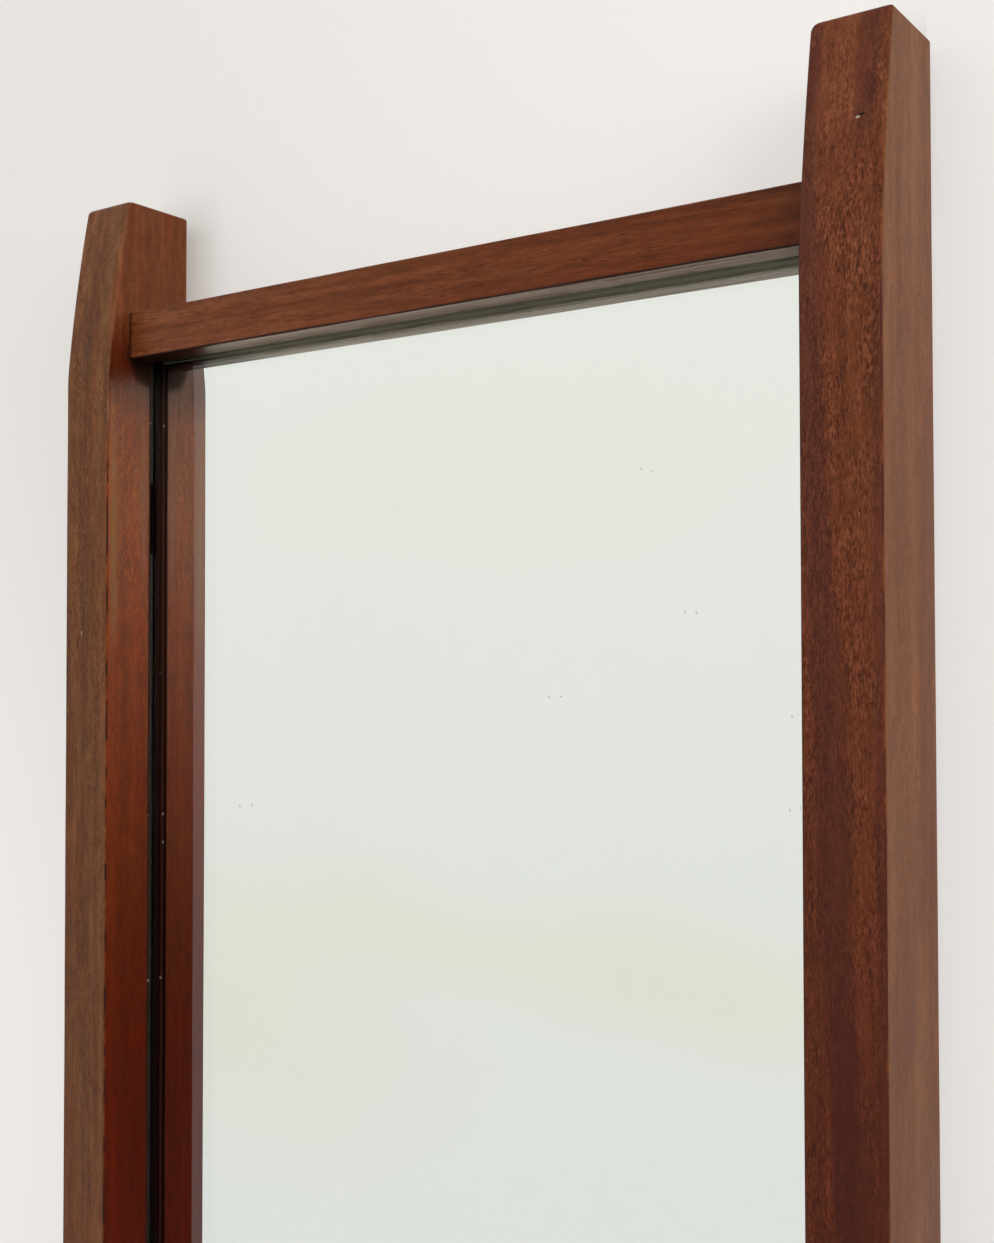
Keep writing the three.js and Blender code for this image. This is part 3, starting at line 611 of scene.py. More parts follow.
def button_shell(place, low_y, high_y, inward):
    """A turn button as a ring that runs up the outline, over a rounded edge, in to the screw
    hole, down its wall and back out underneath. Between outline and hole the points move in
    straight lines."""
    a, b, out_a, out_b = button_outline()
    ease = 0.0004
    turn = np.linspace(0, QUARTER, 5)
    hole_radius = 0.0017
    bearing = np.arctan2(b, a)
    hole_a, hole_b = hole_radius * np.cos(bearing), hole_radius * np.sin(bearing)
    inset = np.concatenate([[0.0], ease * (1 - np.cos(turn))])[:, None]
    level = np.concatenate([[low_y], high_y - ease * (1 - np.sin(turn))])
    rim_a, rim_b = a - out_a * inset, b - out_b * inset
    share = np.array([0.3, 0.6, 0.92, 1.0])[:, None]
    top_a = rim_a[-1] + (hole_a - rim_a[-1]) * share
    top_b = rim_b[-1] + (hole_b - rim_b[-1]) * share
    under_a, under_b = top_a[::-1], top_b[::-1]
    across = np.concatenate([rim_a, top_a, under_a])
    along = np.concatenate([rim_b, top_b, under_b])
    deep = np.concatenate([level, np.full(len(share), high_y), np.full(len(share), low_y)])
    deep = np.broadcast_to(deep[:, None], across.shape)
    x = place[0] + across * inward[0] - along * inward[1]
    z = place[2] + across * inward[1] + along * inward[0]
    return grid_shell(np.stack([x, deep, z], axis=2), wrap_rows=True)


def ring_shell(place, wire, half, leg, corner):
    """A hanger ring: a round wire along a flat closed path of a bar, two small corner arcs, two
    legs and a half circle. Each point stands off the path by the wire's radius, in the plane of
    the path's own normal and the Y axis."""
    stops = np.linspace(0, 1, 9)[1:-1]
    spans = [
        run(half - corner, 0.0, corner - half, 0.0, stops),
        arc(corner - half, -corner, corner, QUARTER, 2 * QUARTER, 9),
        run(-half, -corner, -half, -leg, stops[3:4]),
        arc(0.0, -leg, half, 2 * QUARTER, 4 * QUARTER, 49),
        run(half, -leg, half, -corner, stops[3:4]),
        arc(half - corner, -corner, corner, 0.0, QUARTER, 9),
    ]
    a, b = joined(spans)
    out_a, out_b = (part[:, None] for part in outward(a, b))
    turn = np.linspace(0, 2 * math.pi, 18, endpoint=False)
    x = place[0] + a[:, None] + out_a * wire / 2 * np.cos(turn)
    y = np.broadcast_to(place[1] + wire / 2 * np.sin(turn), x.shape)
    z = place[2] + b[:, None] + out_b * wire / 2 * np.cos(turn)
    return grid_shell(np.stack([x, y, z], axis=2), wrap_rows=True)


def dowel_shell(low, high):
    """A fluted dowel along X: its radius is full between the flutes, a little less in them,
    and shrinks over the chamfer at each end."""
    radius = (high.y - low.y) / 2
    middle_x, middle_y, middle_z = middle(low, high)
    chamfer = 0.0008
    x = np.array([low.x, low.x + chamfer, middle_x, high.x - chamfer, high.x])[:, None]
    narrow = np.array([chamfer, 0.0, 0.0, 0.0, chamfer])[:, None]
    turn = np.linspace(0, 2 * math.pi, 64, endpoint=False)
    flute = FLUTE_DEPTH * (0.5 + 0.5 * np.cos(FLUTES * turn))
    around = radius - flute - narrow
    y = middle_y + around * np.cos(turn)
    z = middle_z + around * np.sin(turn)
    rings = np.stack([np.broadcast_to(x, y.shape), y, z], axis=2)
    return capped(rings, (low.x, middle_y, middle_z), (high.x, middle_y, middle_z))


# ------------------------------------------------------------------ shader building


def feed(tree, socket, value):
    """Joins a socket to another one's output, or sets its value."""
    if isinstance(value, NodeSocket):
        tree.links.new(value, socket)
    else:
        socket.default_value = value


def feed_all(tree, sockets, feeds):
    """Feeds several sockets, each by its name or place."""
    for name, value in feeds.items():
        feed(tree, sockets[name], value)


def put(tree, kind, feeds=None, **settings):
    """A new node with its settings, and with its inputs fed."""
    node = tree.nodes.new(kind)
    for name, value in settings.items():
        setattr(node, name, value)
    feed_all(tree, node.inputs, feeds or {})
    return node


def calc(tree, operation, *values, clamp=False):
    """A Math node's result."""
    feeds = dict(enumerate(values))
    return put(tree, "ShaderNodeMath", feeds, operation=operation, use_clamp=clamp).outputs[0]


def times(tree, first, *others):
    """The product of two or more values."""
    for other in others:
        first = calc(tree, "MULTIPLY", first, other)
    return first


def fused(tree, value, scale, base, clamp=False):
    """A value times a scale, plus a base."""
    return calc(tree, "MULTIPLY_ADD", value, scale, base, clamp=clamp)


def centred(tree, value):
    """Noise moved down by a half, so that it lies evenly about nothing."""
    return calc(tree, "SUBTRACT", value, 0.5)


def vector_calc(tree, operation, *values, result=0):
    """A Vector Math node's result."""
    feeds = dict(enumerate(values))
    return put(tree, "ShaderNodeVectorMath", feeds, operation=operation).outputs[result]


def axes(tree, vector):
    """A vector's parts on X, Y and Z."""
    parts = put(tree, "ShaderNodeSeparateXYZ", {"Vector": vector}).outputs
    return parts["X"], parts["Y"], parts["Z"]


def edge_value(tree):
    """The piece's own attribute, which is high on its arrises."""
    return put(tree, "ShaderNodeAttribute", attribute_name="edge").outputs["Fac"]


def ramp(tree, value, low, high, to_low=0.0, to_high=1.0):
    """A smooth step of a value from one level to another."""
    feeds = {
        "Value": value,
        "From Min": low,
        "From Max": high,
        "To Min": to_low,
        "To Max": to_high,
    }
    node = put(tree, "ShaderNodeMapRange", feeds, interpolation_type="SMOOTHSTEP")
    return node.outputs["Result"]


def rgba(value):
    """A colour as four numbers."""
    return (*value[:3], 1.0)


def grey(level):
    """A grey as four numbers."""
    return (level, level, level, 1.0)


def mix(tree, factor, first, second, kind="MIX"):
    """Two colours mixed by a factor."""
    node = put(tree, "ShaderNodeMix", data_type="RGBA", blend_type=kind)
    feed_all(tree, node.inputs, {0: factor, 6: first, 7: second})
    return node.outputs[2]


def noise(tree, vector, scale, detail=2.0, roughness=0.5, distortion=0.0, result="Fac"):
    """Noise over a vector that is first stretched by three scales in cells per metre."""
    feeds = {
        "Vector": vector_calc(tree, "MULTIPLY", vector, scale),
        "Scale": 1.0,
        "Detail": detail,
        "Roughness": roughness,
        "Distortion": distortion,
    }
    return put(tree, "ShaderNodeTexNoise", feeds, noise_dimensions="3D").outputs[result]


def shoved(tree, vector, scale, reach):
    """A vector moved about by noise, by at most half of three reaches in metres."""
    push = noise(tree, vector, scale, 1.0, result="Color")
    push = vector_calc(tree, "ADD", push, (-0.5, -0.5, -0.5))
    return vector_calc(tree, "MULTIPLY_ADD", push, reach, vector)


def facing(tree, heading, both=False):
    """Whether a face looks along a heading: 0 where the cosine between them is under 0.5 and 1
    where it is over 0.9. Both counts the opposite heading too."""
    normal = put(tree, "ShaderNodeNewGeometry").outputs["Normal"]
    share = vector_calc(tree, "DOT_PRODUCT", normal, heading, result="Value")
    if both:
        share = calc(tree, "ABSOLUTE", share)
    return ramp(tree, share, 0.5, 0.9)


def new_group(name, inputs, outputs):
    """A shader node group: its tree, its inputs' outputs and its outputs' inputs. An input is a
    number with a default, or a vector where the default is None. All outputs are numbers."""
    group = bpy.data.node_groups.new(name, "ShaderNodeTree")
    for label, value in inputs.items():
        kind = "NodeSocketVector" if value is None else "NodeSocketFloat"
        socket = group.interface.new_socket(label, in_out="INPUT", socket_type=kind)
        if value is not None:
            socket.default_value = value
    for label in outputs:
        group.interface.new_socket(label, in_out="OUTPUT", socket_type="NodeSocketFloat")
    entry = group.nodes.new("NodeGroupInput")
    leave = group.nodes.new("NodeGroupOutput")
    return group, entry.outputs, leave.inputs


def use_group(tree, name, maker, feeds):
    """A placed node group with its inputs fed by name; returns its outputs. The group is made
    the first time it is asked for."""
    node = tree.nodes.new("ShaderNodeGroup")
    node.node_tree = bpy.data.node_groups.get(name) or maker(name)
    feed_all(tree, node.inputs, feeds)
    return node.outputs


def grain_group(name):
    """Grain along Z: long streaks, broad ribbons, short flecks that lean with the ribbons, and
    fine dark pores."""
    inputs = {"Vector": None, "Fleck": 1.0, "Pore": 1.0, "Streak": 1.0}
    group, given, result = new_group(name, inputs, ("Tone", "Hue", "Pores", "Height"))
    vector = given["Vector"]
    swayed = shoved(group, vector, (45.0, 45.0, 11.0), (0.0035, 0.0035, 0.0))
    curled = shoved(group, swayed, (330.0, 330.0, 150.0), (0.0012, 0.0012, 0.0))
    curled = shoved(group, curled, (900.0, 900.0, 420.0), (0.0006, 0.0006, 0.0))
    streak = noise(group, swayed, (330.0, 330.0, 13.0), 4.0, 0.6)
    ribbon = noise(group, swayed, (110.0, 90.0, 3.5))
    hue = noise(group, swayed, (150.0, 120.0, 12.0))
    mottle = noise(group, swayed, (420.0, 420.0, 105.0), 3.0, 0.6)
    fleck = noise(group, curled, (1900.0, 1900.0, 460.0), 2.0, 0.6, 0.6)
    patch = noise(group, vector, (120.0, 120.0, 40.0))
    pore = noise(group, curled, (2600.0, 2600.0, 190.0), 1.0)
    patchy = ramp(group, patch, 0.36, 0.6, 0.45, 1.0)
    lines = times(group, centred(group, streak), given["Streak"])
    flecks = times(group, centred(group, fleck), times(group, patchy, given["Fleck"]))
    tone = fused(group, lines, 0.65, 0.5)
    tone = fused(group, centred(group, ribbon), 0.6, tone)
    tone = fused(group, centred(group, mottle), 0.6, tone)
    tone = fused(group, flecks, 2.2, tone, clamp=True)
    hue = ramp(group, hue, 0.35, 0.65)
    pores = times(group, ramp(group, pore, 0.57, 0.69), given["Pore"], patchy)
    height = fused(group, pores, -1.0, times(group, streak, 0.4))
    feed_all(group, result, {"Tone": tone, "Hue": hue, "Pores": pores, "Height": height})
    return group


def stripe_group(name):
    """A soft stripe along the grain. Its middle on the X axis runs straight from one place at
    the top level to another at the bottom level, swaying a little, and fades past its half
    width."""
    inputs = {
        "Vector": None,
        "Top Place": 0.0,
        "Bottom Place": 0.0,
        "Top Level": 0.0,
        "Bottom Level": -0.3,
        "Half Width": 0.004,
        "Soft": 0.003,
    }
    group, given, result = new_group(name, inputs, ("Mask", "Along"))
    x, _, z = axes(group, given["Vector"])
    levels = {"Value": z, "From Min": given["Top Level"], "From Max": given["Bottom Level"]}
    along = put(group, "ShaderNodeMapRange", levels, clamp=False).outputs["Result"]
    span = calc(group, "SUBTRACT", given["Bottom Place"], given["Top Place"])
    place = fused(group, span, along, given["Top Place"])
    sway = noise(group, given["Vector"], (60.0, 60.0, 22.0), 3.0, 0.6)
    sway = times(group, centred(group, sway), 0.006)
    off = calc(group, "ABSOLUTE", calc(group, "SUBTRACT", x, place))
    off = calc(group, "ADD", off, sway)
    gone = calc(group, "ADD", given["Half Width"], given["Soft"])
    mask = ramp(group, off, gone, given["Half Width"])
    feed_all(group, result, {"Mask": mask, "Along": along})
    return group


def wear_group(name):
    """Rubbed edges: the edge attribute where it is high, broken up by noise along the edge."""
    inputs = {"Vector": None, "Edge": 0.0, "Amount": 0.5}
    group, given, result = new_group(name, inputs, ("Mask",))
    broken = noise(group, given["Vector"], (160.0, 160.0, 60.0), 3.0, 0.65)
    broken = ramp(group, broken, 0.36, 0.66)
    edge = ramp(group, given["Edge"], 0.35, 0.95)
    feed(group, result["Mask"], times(group, edge, broken, given["Amount"]))
    return group


def spot_group(name):
    """A small oval mark: full inside the inner share of its size, and gone past the outer one.
    The breaks roughen its edge."""
    inputs = {
        "Vector": None, "Middle": None, "Size": None, "Inner": 0.9, "Outer": 1.5, "Breaks": 0.0
    }
    group, given, result = new_group(name, inputs, ("Mask",))
    off = vector_calc(group, "SUBTRACT", given["Vector"], given["Middle"])
    share = vector_calc(group, "DIVIDE", off, given["Size"])
    far = vector_calc(group, "LENGTH", share, result="Value")
    rough = noise(group, given["Vector"], (700.0, 700.0, 160.0), 3.0, 0.6)
    rough = times(group, centred(group, rough), given["Breaks"])
    far = calc(group, "ADD", far, rough)
    feed(group, result["Mask"], ramp(group, far, given["Outer"], given["Inner"]))
    return group


def dust_group(name):
    """Sparse specks: a dot in some of the cells of a loose grid."""
    inputs = {"Vector": None, "Cells": 30.0, "Size": 0.02, "Share": 0.5}
    group, given, result = new_group(name, inputs, ("Mask",))
    grid = {"Vector": given["Vector"], "Scale": given["Cells"]}
    cell = put(group, "ShaderNodeTexVoronoi", grid).outputs
    chosen = put(group, "ShaderNodeSeparateColor", {"Color": cell["Color"]}).outputs[0]
    chosen = calc(group, "LESS_THAN", chosen, given["Share"])
    full = times(group, given["Size"], 0.6)
    dot = ramp(group, cell["Distance"], given["Size"], full)
    feed(group, result["Mask"], times(group, dot, chosen))
    return group


def spot(tree, place, middle, size, inner=0.9, outer=1.5, breaks=0.0):
    """The mask of one small mark."""
    feeds = {
        "Vector": place,
        "Middle": middle,
        "Size": size,
        "Inner": inner,
        "Outer": outer,
        "Breaks": breaks,
    }
    return use_group(tree, "Small mark", spot_group, feeds)["Mask"]


def dust(tree, place, cells, size, share):
    """The mask of sparse specks, with so many cells per metre."""
    feeds = {"Vector": place, "Cells": cells, "Size": size, "Share": share}
    return use_group(tree, "Dust", dust_group, feeds)["Mask"]


def new_material(name):
    """A material with an empty tree but for its output and one Principled shader: the material,
    its tree, the shader's inputs and the place on the object."""
    material = bpy.data.materials.new(name)
    material.use_nodes = True
    tree = material.node_tree
    tree.nodes.clear()
    output = put(tree, "ShaderNodeOutputMaterial")
    shader = put(tree, "ShaderNodeBsdfPrincipled")
    tree.links.new(shader.outputs["BSDF"], output.inputs["Surface"])
    place = put(tree, "ShaderNodeTexCoord").outputs["Object"]
    return material, tree, shader.inputs, place


def bump(tree, height, distance, strength=1.0):
    """A normal that follows a height."""
    feeds = {"Height": height, "Distance": distance, "Strength": strength}
    return put(tree, "ShaderNodeBump", feeds).outputs["Normal"]


def gradient(tree, value, stops):
    """A colour that runs through the given stops, each a place between 0 and 1 and a colour."""
    node = put(tree, "ShaderNodeValToRGB", {"Fac": value})
    elements = node.color_ramp.elements
    while len(elements) < len(stops):
        elements.new(0.5)
    for element, (place, tint) in zip(elements, stops):
        element.position = place
        element.color = rgba(tint)
    return node.outputs["Color"]


# ------------------------------------------------------------------ materials

# Heights between which the looks change down the stiles: from the rail's shade to the lower end
# of the photographed stretch, and around the top rail.
LOW_DOWN = (-0.02, -0.37)
ABOVE_RAIL = (-0.06, 0.0)

# Small marks: the shares of their size that are full and gone, and how rough their edge is.
CHIP = {"inner": 0.9, "outer": 1.5}
LIGHT_PATCH = {"inner": 0.1, "outer": 1.3, "breaks": 1.6}
FINISH_AND_SHADE_FUNNEL = {"inner": 0.8, "outer": 1.15, "breaks": 0.3}

# Painted light and shade on the inward faces down the stile: dark in the rail's shade, brighter
# below it, and deep red towards the lower end, partly the wood's own tone and partly painted shade.
INNER_TONE_AND_LIGHT = (
    (0.0024, (0.60, 0.29, 0.16)),
    (0.0120, (1.45, 0.78, 0.14)),
    (0.0400, (1.62, 0.92, 0.15)),
    (0.1000, (1.65, 0.80, 0.14)),
    (0.33, (1.35, 0.60, 0.10)),
    (0.60, (1.22, 0.49, 0.06)),
    (0.92, (0.86, 0.20, 0.02)),
)
OLIVE = (0.80, 1.12, 1.15, 1.0)  # cast of the greener patches
EVEN_TIMBER = (0.165, 0.042, 0.0115, 1.0)  # the sides' even tone
RAIL_LEVEL = (0.90, 0.93, 1.03, 1.0)  # cast of the sides from the rail up
HALF_OPENING = 0.1562  # the painted shade on a stile's lip ends this far from the middle
RAIL_SPAN = ((0.0, -0.005), (-1.009, -1.004))  # soft ends at the two rails' middles
LIP_BACK = ((-0.0214, -0.0208), (-0.0190, -0.0196))  # soft ends in front of and on the glass
RUBBED_ROUGHNESS = 0.22  # how far the finish's roughness wanders


def between_rails(tree, z):
    """A mask over what lies between the top rail's middle and the bottom rail's."""
    return times(tree, *(ramp(tree, z, *span) for span in RAIL_SPAN))


def rebate_edge(tree, x, y, between, lying):
    """A mask over the back of the lip, in front of the glass, between the two rails, where shade is
    painted.
    """
    mask = times(tree, *(ramp(tree, y, *span) for span in LIP_BACK), between)
    if lying:
        return mask
    return times(tree, mask, calc(tree, "LESS_THAN", calc(tree, "ABSOLUTE", x), HALF_OPENING))


def heart_stripe(tree, place, tint, ends, levels, half, soft, power, stain):
    """Stains a tint along one stripe, which fades in and out over its ends."""
    feeds = {
        "Vector": place,
        "Top Place": ends[0],
        "Bottom Place": ends[1],
        "Top Level": levels[0],
        "Bottom Level": levels[1],
        "Half Width": half,
        "Soft": soft,
    }
    stripe = use_group(tree, "Heart stripe", stripe_group, feeds)
    fade = times(
        tree, ramp(tree, stripe["Along"], -0.15, 0.1), ramp(tree, stripe["Along"], 1.15, 0.85)
    )
    return mix(tree, times(tree, stripe["Mask"], fade, power), tint, rgba(stain))


def timber(name, finish, inward, grain_of, casts, rub, stripes=(), spots=(), lying=False):
    """Rubbed reddish hardwood: the grain along the piece, darker heart stripes, pores, rubbed
    arrises and small marks. The faces that look inwards at the glass were never rubbed, so the
    old finish is still glossy there, and painted light and shade run down their colour.

    The grain is given as its shift and the strengths of its flecks, pores and olive patches. The
    casts are the front's at its two ends, and for a stile the sides' and how even they are. The
    rub is the arrises' colour and strength above and below the top rail."""
    material, tree, shader, place = new_material(name)
    x, y, z = axes(tree, place)
    edge = edge_value(tree)
    shift, flecks, pores, olive = grain_of
    along_grain = {
        "Vector": place,
        "Location": shift,
        "Rotation": (0.0, math.pi / 2 if lying else 0.0, 0.0),
        "Scale": (0.5 if lying else 1.0, 1.0, 1.0),
    }
    grain_place = put(tree, "ShaderNodeMapping", along_grain).outputs[0]
    low_down = ramp(tree, z, *LOW_DOWN)
    upper = ramp(tree, z, *ABOVE_RAIL)
    sideways = facing(tree, (1.0, 0.0, 0.0), both=True)
    inside = facing(tree, inward, both=lying)
    fleck, pore = flecks, pores
    if not lying:
        inside = times(tree, inside, ramp(tree, z, 0.012, -0.009))
        fleck = fused(tree, sideways, -0.35 * flecks, flecks)
        fleck = times(tree, fleck, ramp(tree, z, 0.03, -0.02, 0.75, 1.15))
        fleck = times(tree, fleck, fused(tree, low_down, -0.5, 1.0))
        mottled = times(tree, inside, ramp(tree, z, -0.17, -0.06))
        fleck = fused(tree, mottled, 0.5, fleck)
        pore = fused(tree, sideways, -0.5 * pores, pores)
    streak = fused(tree, sideways, -0.55, 1.0)
    feeds = {"Vector": grain_place, "Fleck": fleck, "Pore": pore, "Streak": streak}
    grain = use_group(tree, "Timber grain", grain_group, feeds)
    tones = [(0.12, finish.timber_dark), (0.5, finish.timber_mid), (0.95, finish.timber_light)]
    tint = gradient(tree, grain["Tone"], tones)
    greener = fused(tree, grain["Hue"], 0.5 * olive, 0.5 * olive)
    tint = mix(tree, greener, tint, OLIVE, "MULTIPLY")
    for stripe in stripes:
        tint = heart_stripe(tree, place, tint, *stripe)
    tint = mix(tree, times(tree, grain["Pores"], 0.75), tint, rgba(finish.timber_dark))
    # On a stile the front's cast runs from the top to the lower end and darkens there as painted
    # shade; on a rail it runs from left to right.
    along = ramp(tree, x, -0.148, 0.148) if lying else low_down
    cast = mix(tree, along, rgba(casts[0]), rgba(casts[1]))
    if not lying:
        even, plain = casts[2:]
        smooth = times(tree, calc(tree, "SUBTRACT", sideways, inside), plain)
        tint = mix(tree, smooth, tint, EVEN_TIMBER)
        # The sides' cast falls to 0.85 of itself towards the lower end: painted shade.
        even = mix(tree, low_down, rgba(even), rgba([0.85 * part for part in even]))
        even = mix(tree, upper, even, RAIL_LEVEL, "MULTIPLY")
        cast = mix(tree, sideways, cast, even)
        # Painted light and shade on the inward faces, from the rail's shade down to the lower end.
        inner_tone_and_light = gradient(tree, ramp(tree, z, -0.01, -0.36), INNER_TONE_AND_LIGHT)
        cast = mix(tree, inside, cast, inner_tone_and_light)
    tint = mix(tree, 1.0, tint, cast, "MULTIPLY")
    above, at_top, below, at_bottom = rub
    amount = fused(tree, upper, at_top - at_bottom, at_bottom)
    feeds = {"Vector": grain_place, "Edge": edge, "Amount": amount}
    wear = use_group(tree, "Rubbed edge", wear_group, feeds)["Mask"]
    tint = mix(tree, wear, tint, mix(tree, upper, rgba(below), rgba(above)))
    # Painted shade: the lip's back edge in the rebate, and on a rail its arrises too, take the
    # near-black finish-and-shade colour.
    between = between_rails(tree, z)
    painted_lip_and_edge_shade = rebate_edge(tree, x, y, between, lying)
    if lying:
        painted_lip_and_edge_shade = calc(tree, "MAXIMUM", painted_lip_and_edge_shade, times(tree, ramp(tree, edge, 0.12, 0.55), between))
    tint = mix(tree, times(tree, painted_lip_and_edge_shade, 0.9 if lying else 0.8), tint, rgba(finish.gathered_finish_and_shade))
    streaks = noise(tree, grain_place, (900.0, 900.0, 40.0), 3.0, 0.6)
    shine = (0.22, 0.85) if lying else (0.5, 0.75)
    gloss = times(
        tree, inside, ramp(tree, streaks, 0.35, 0.6, *shine), ramp(tree, edge, 0.4, 0.05)
    )
    height = grain["Height"]
    for middle, size, mark, power, sunk, shape in spots:
        mask = spot(tree, place, middle, size, **shape)
        tint = mix(tree, times(tree, mask, power), tint, rgba(mark))
        gloss = times(tree, gloss, fused(tree, mask, -sunk, 1.0))
        height = fused(tree, mask, -3.0 * sunk, height)
    if lying:
        # Painted shade at the rail's ends: the inward faces darken and lose their gloss towards
        # each stile, and a thin strip at each joint is darkened by old finish and painted shade.
        left_end_shade = ramp(tree, x, -0.0880, -0.1190, 0.0, 0.97)
        right_end_shade = ramp(tree, x, 0.1340, 0.1460, 0.0, 0.7)
        ends = times(tree, inside, calc(tree, "ADD", left_end_shade, right_end_shade), between)
        corner = ramp(tree, calc(tree, "ABSOLUTE", x), 0.1455, 0.1478, 0.0, 0.8)
        tint = mix(tree, calc(tree, "MAXIMUM", corner, ends), tint, rgba(finish.gathered_finish_and_shade))
        gloss = times(tree, gloss, calc(tree, "SUBTRACT", 1.0, ends))
    haze = noise(tree, grain_place, (90.0, 90.0, 14.0), 3.0)
    surface = {
        "Base Color": tint,
        "Roughness": fused(tree, centred(tree, haze), RUBBED_ROUGHNESS, finish.timber_roughness),
        "Coat Weight": gloss,
        "Coat Roughness": 0.17 if lying else 0.22,
        "Coat IOR": 1.5 if lying else 1.95,
        "Specular IOR Level": 0.125,
        "Normal": bump(tree, height, 0.00006, 0.6),
    }
    feed_all(tree, shader, surface)
    return material


def plain_grain(name, light, dark, scale, roughness, deep=0.00004):
    """Bare wood, cork or board: two tones mixed by stretched noise, with a matching bump."""
    material, tree, shader, place = new_material(name)
    coarse = noise(tree, place, scale, 4.0, 0.6)
    fine = noise(tree, place, tuple(4.3 * part for part in scale))
    tone = fused(tree, fine, 0.4, times(tree, coarse, 0.7))
    surface = {
        "Base Color": mix(tree, ramp(tree, tone, 0.35, 0.75), rgba(dark), rgba(light)),
        "Roughness": roughness,
        "Normal": bump(tree, tone, deep),
    }
    feed_all(tree, shader, surface)
    return material


def felt(name, dark, light):
    """Felt: fine crossed fibres, a soft nap and a little dust."""
    material, tree, shader, place = new_material(name)
    fibre = noise(tree, place, (2600.0, 2600.0, 700.0), 3.0, 0.7)
    tint = mix(tree, fibre, rgba(dark), rgba(light))
    surface = {
        "Base Color": mix(tree, dust(tree, place, 160.0, 0.11, 0.25), tint, (0.5, 0.42, 0.36, 1.0)),
        "Roughness": 0.95,
        "Specular IOR Level": 0.15,
        "Sheen Weight": 0.1,
        "Normal": bump(tree, fibre, 0.00008),
    }
    feed_all(tree, shader, surface)
    return material


def metal(name, tint, dull, roughness, scale):
    """Worn metal: fine brushed lines, and patches that are darker and rougher."""
    material, tree, shader, place = new_material(name)
    lines = noise(tree, place, scale, 3.0, 0.6)
    stain = ramp(tree, noise(tree, place, (220.0, 220.0, 220.0), 3.0, 0.6), 0.42, 0.68)
    dark = [part * dull for part in tint]
    surface = {
        "Base Color": mix(tree, stain, rgba(tint), rgba(dark)),
        "Metallic": 1.0,
        "Roughness": fused(tree, stain, 0.16, fused(tree, lines, 0.2, roughness - 0.1)),
        "Normal": bump(tree, lines, 0.00001, 0.5),
    }
    feed_all(tree, shader, surface)
    return material


def hardboard(name):
    """Hardboard seen from its rough side: cloudy brown fibre, pressed through a fine mesh."""
    material, tree, shader, place = new_material(name)
    mottle = noise(tree, place, (55.0, 55.0, 55.0), 5.0, 0.65)
    fibre = noise(tree, place, (700.0, 700.0, 260.0), 3.0, 0.7)
    feeds = {"Vector": place, "Scale": 105.0, "Distortion": 0.6}
    wires = [
        put(tree, "ShaderNodeTexWave", feeds, bands_direction=axis).outputs["Fac"]
        for axis in ("X", "Z")
    ]
    weave = times(tree, *wires)
    tone = fused(tree, fibre, 0.45, times(tree, mottle, 0.6))
    tone = ramp(tree, tone, 0.3, 0.75)
    tint = mix(tree, tone, (0.10, 0.055, 0.028, 1.0), (0.26, 0.155, 0.085, 1.0))
    height = fused(tree, weave, -1.0, times(tree, fibre, 0.5))
    surface = {
        "Base Color": mix(tree, times(tree, weave, 0.35), tint, (0.07, 0.04, 0.02, 1.0)),
        "Roughness": 0.8,
        "Normal": bump(tree, height, 0.0002, 0.8),
    }
    feed_all(tree, shader, surface)
    return material


# Specks on the glass: place on X and Z, and half their width and height.
GLASS_SPECKS = (
    (0.0827, -0.0701, 0.00045, 0.0005),
    (0.0985, -0.1169, 0.0005, 0.0007),
    (-0.0697, -0.1102, 0.0004, 0.0006),
    (0.0468, -0.1446, 0.0005, 0.0005),
    (-0.0975, -0.1891, 0.0006, 0.0007),
    (0.1339, -0.1778, 0.0005, 0.0008),
    (0.1348, -0.1495, 0.0004, 0.0006),
    (-0.0310, -0.5420, 0.0006, 0.0005),
    (0.0720, -0.7210, 0.0004, 0.0007),
    (-0.1120, -0.8460, 0.0005, 0.0005),
)

# Warm blooms in the silvering: place on X and Z, half width and height, and strength.
SILVER_BLOOMS = (
    (0.015, -0.066, 0.115, 0.040, 0.38),
    (-0.020, -0.232, 0.110, 0.022, 0.75),
    (0.095, -0.236, 0.080, 0.026, 0.90),
    (-0.115, -0.265, 0.110, 0.060, 0.80),
    (-0.060, -0.600, 0.110, 0.050, 0.5),
    (0.070, -0.890, 0.090, 0.040, 0.6),
)
WARM = (0.995, 0.962, 0.875)  # the blooms' cast


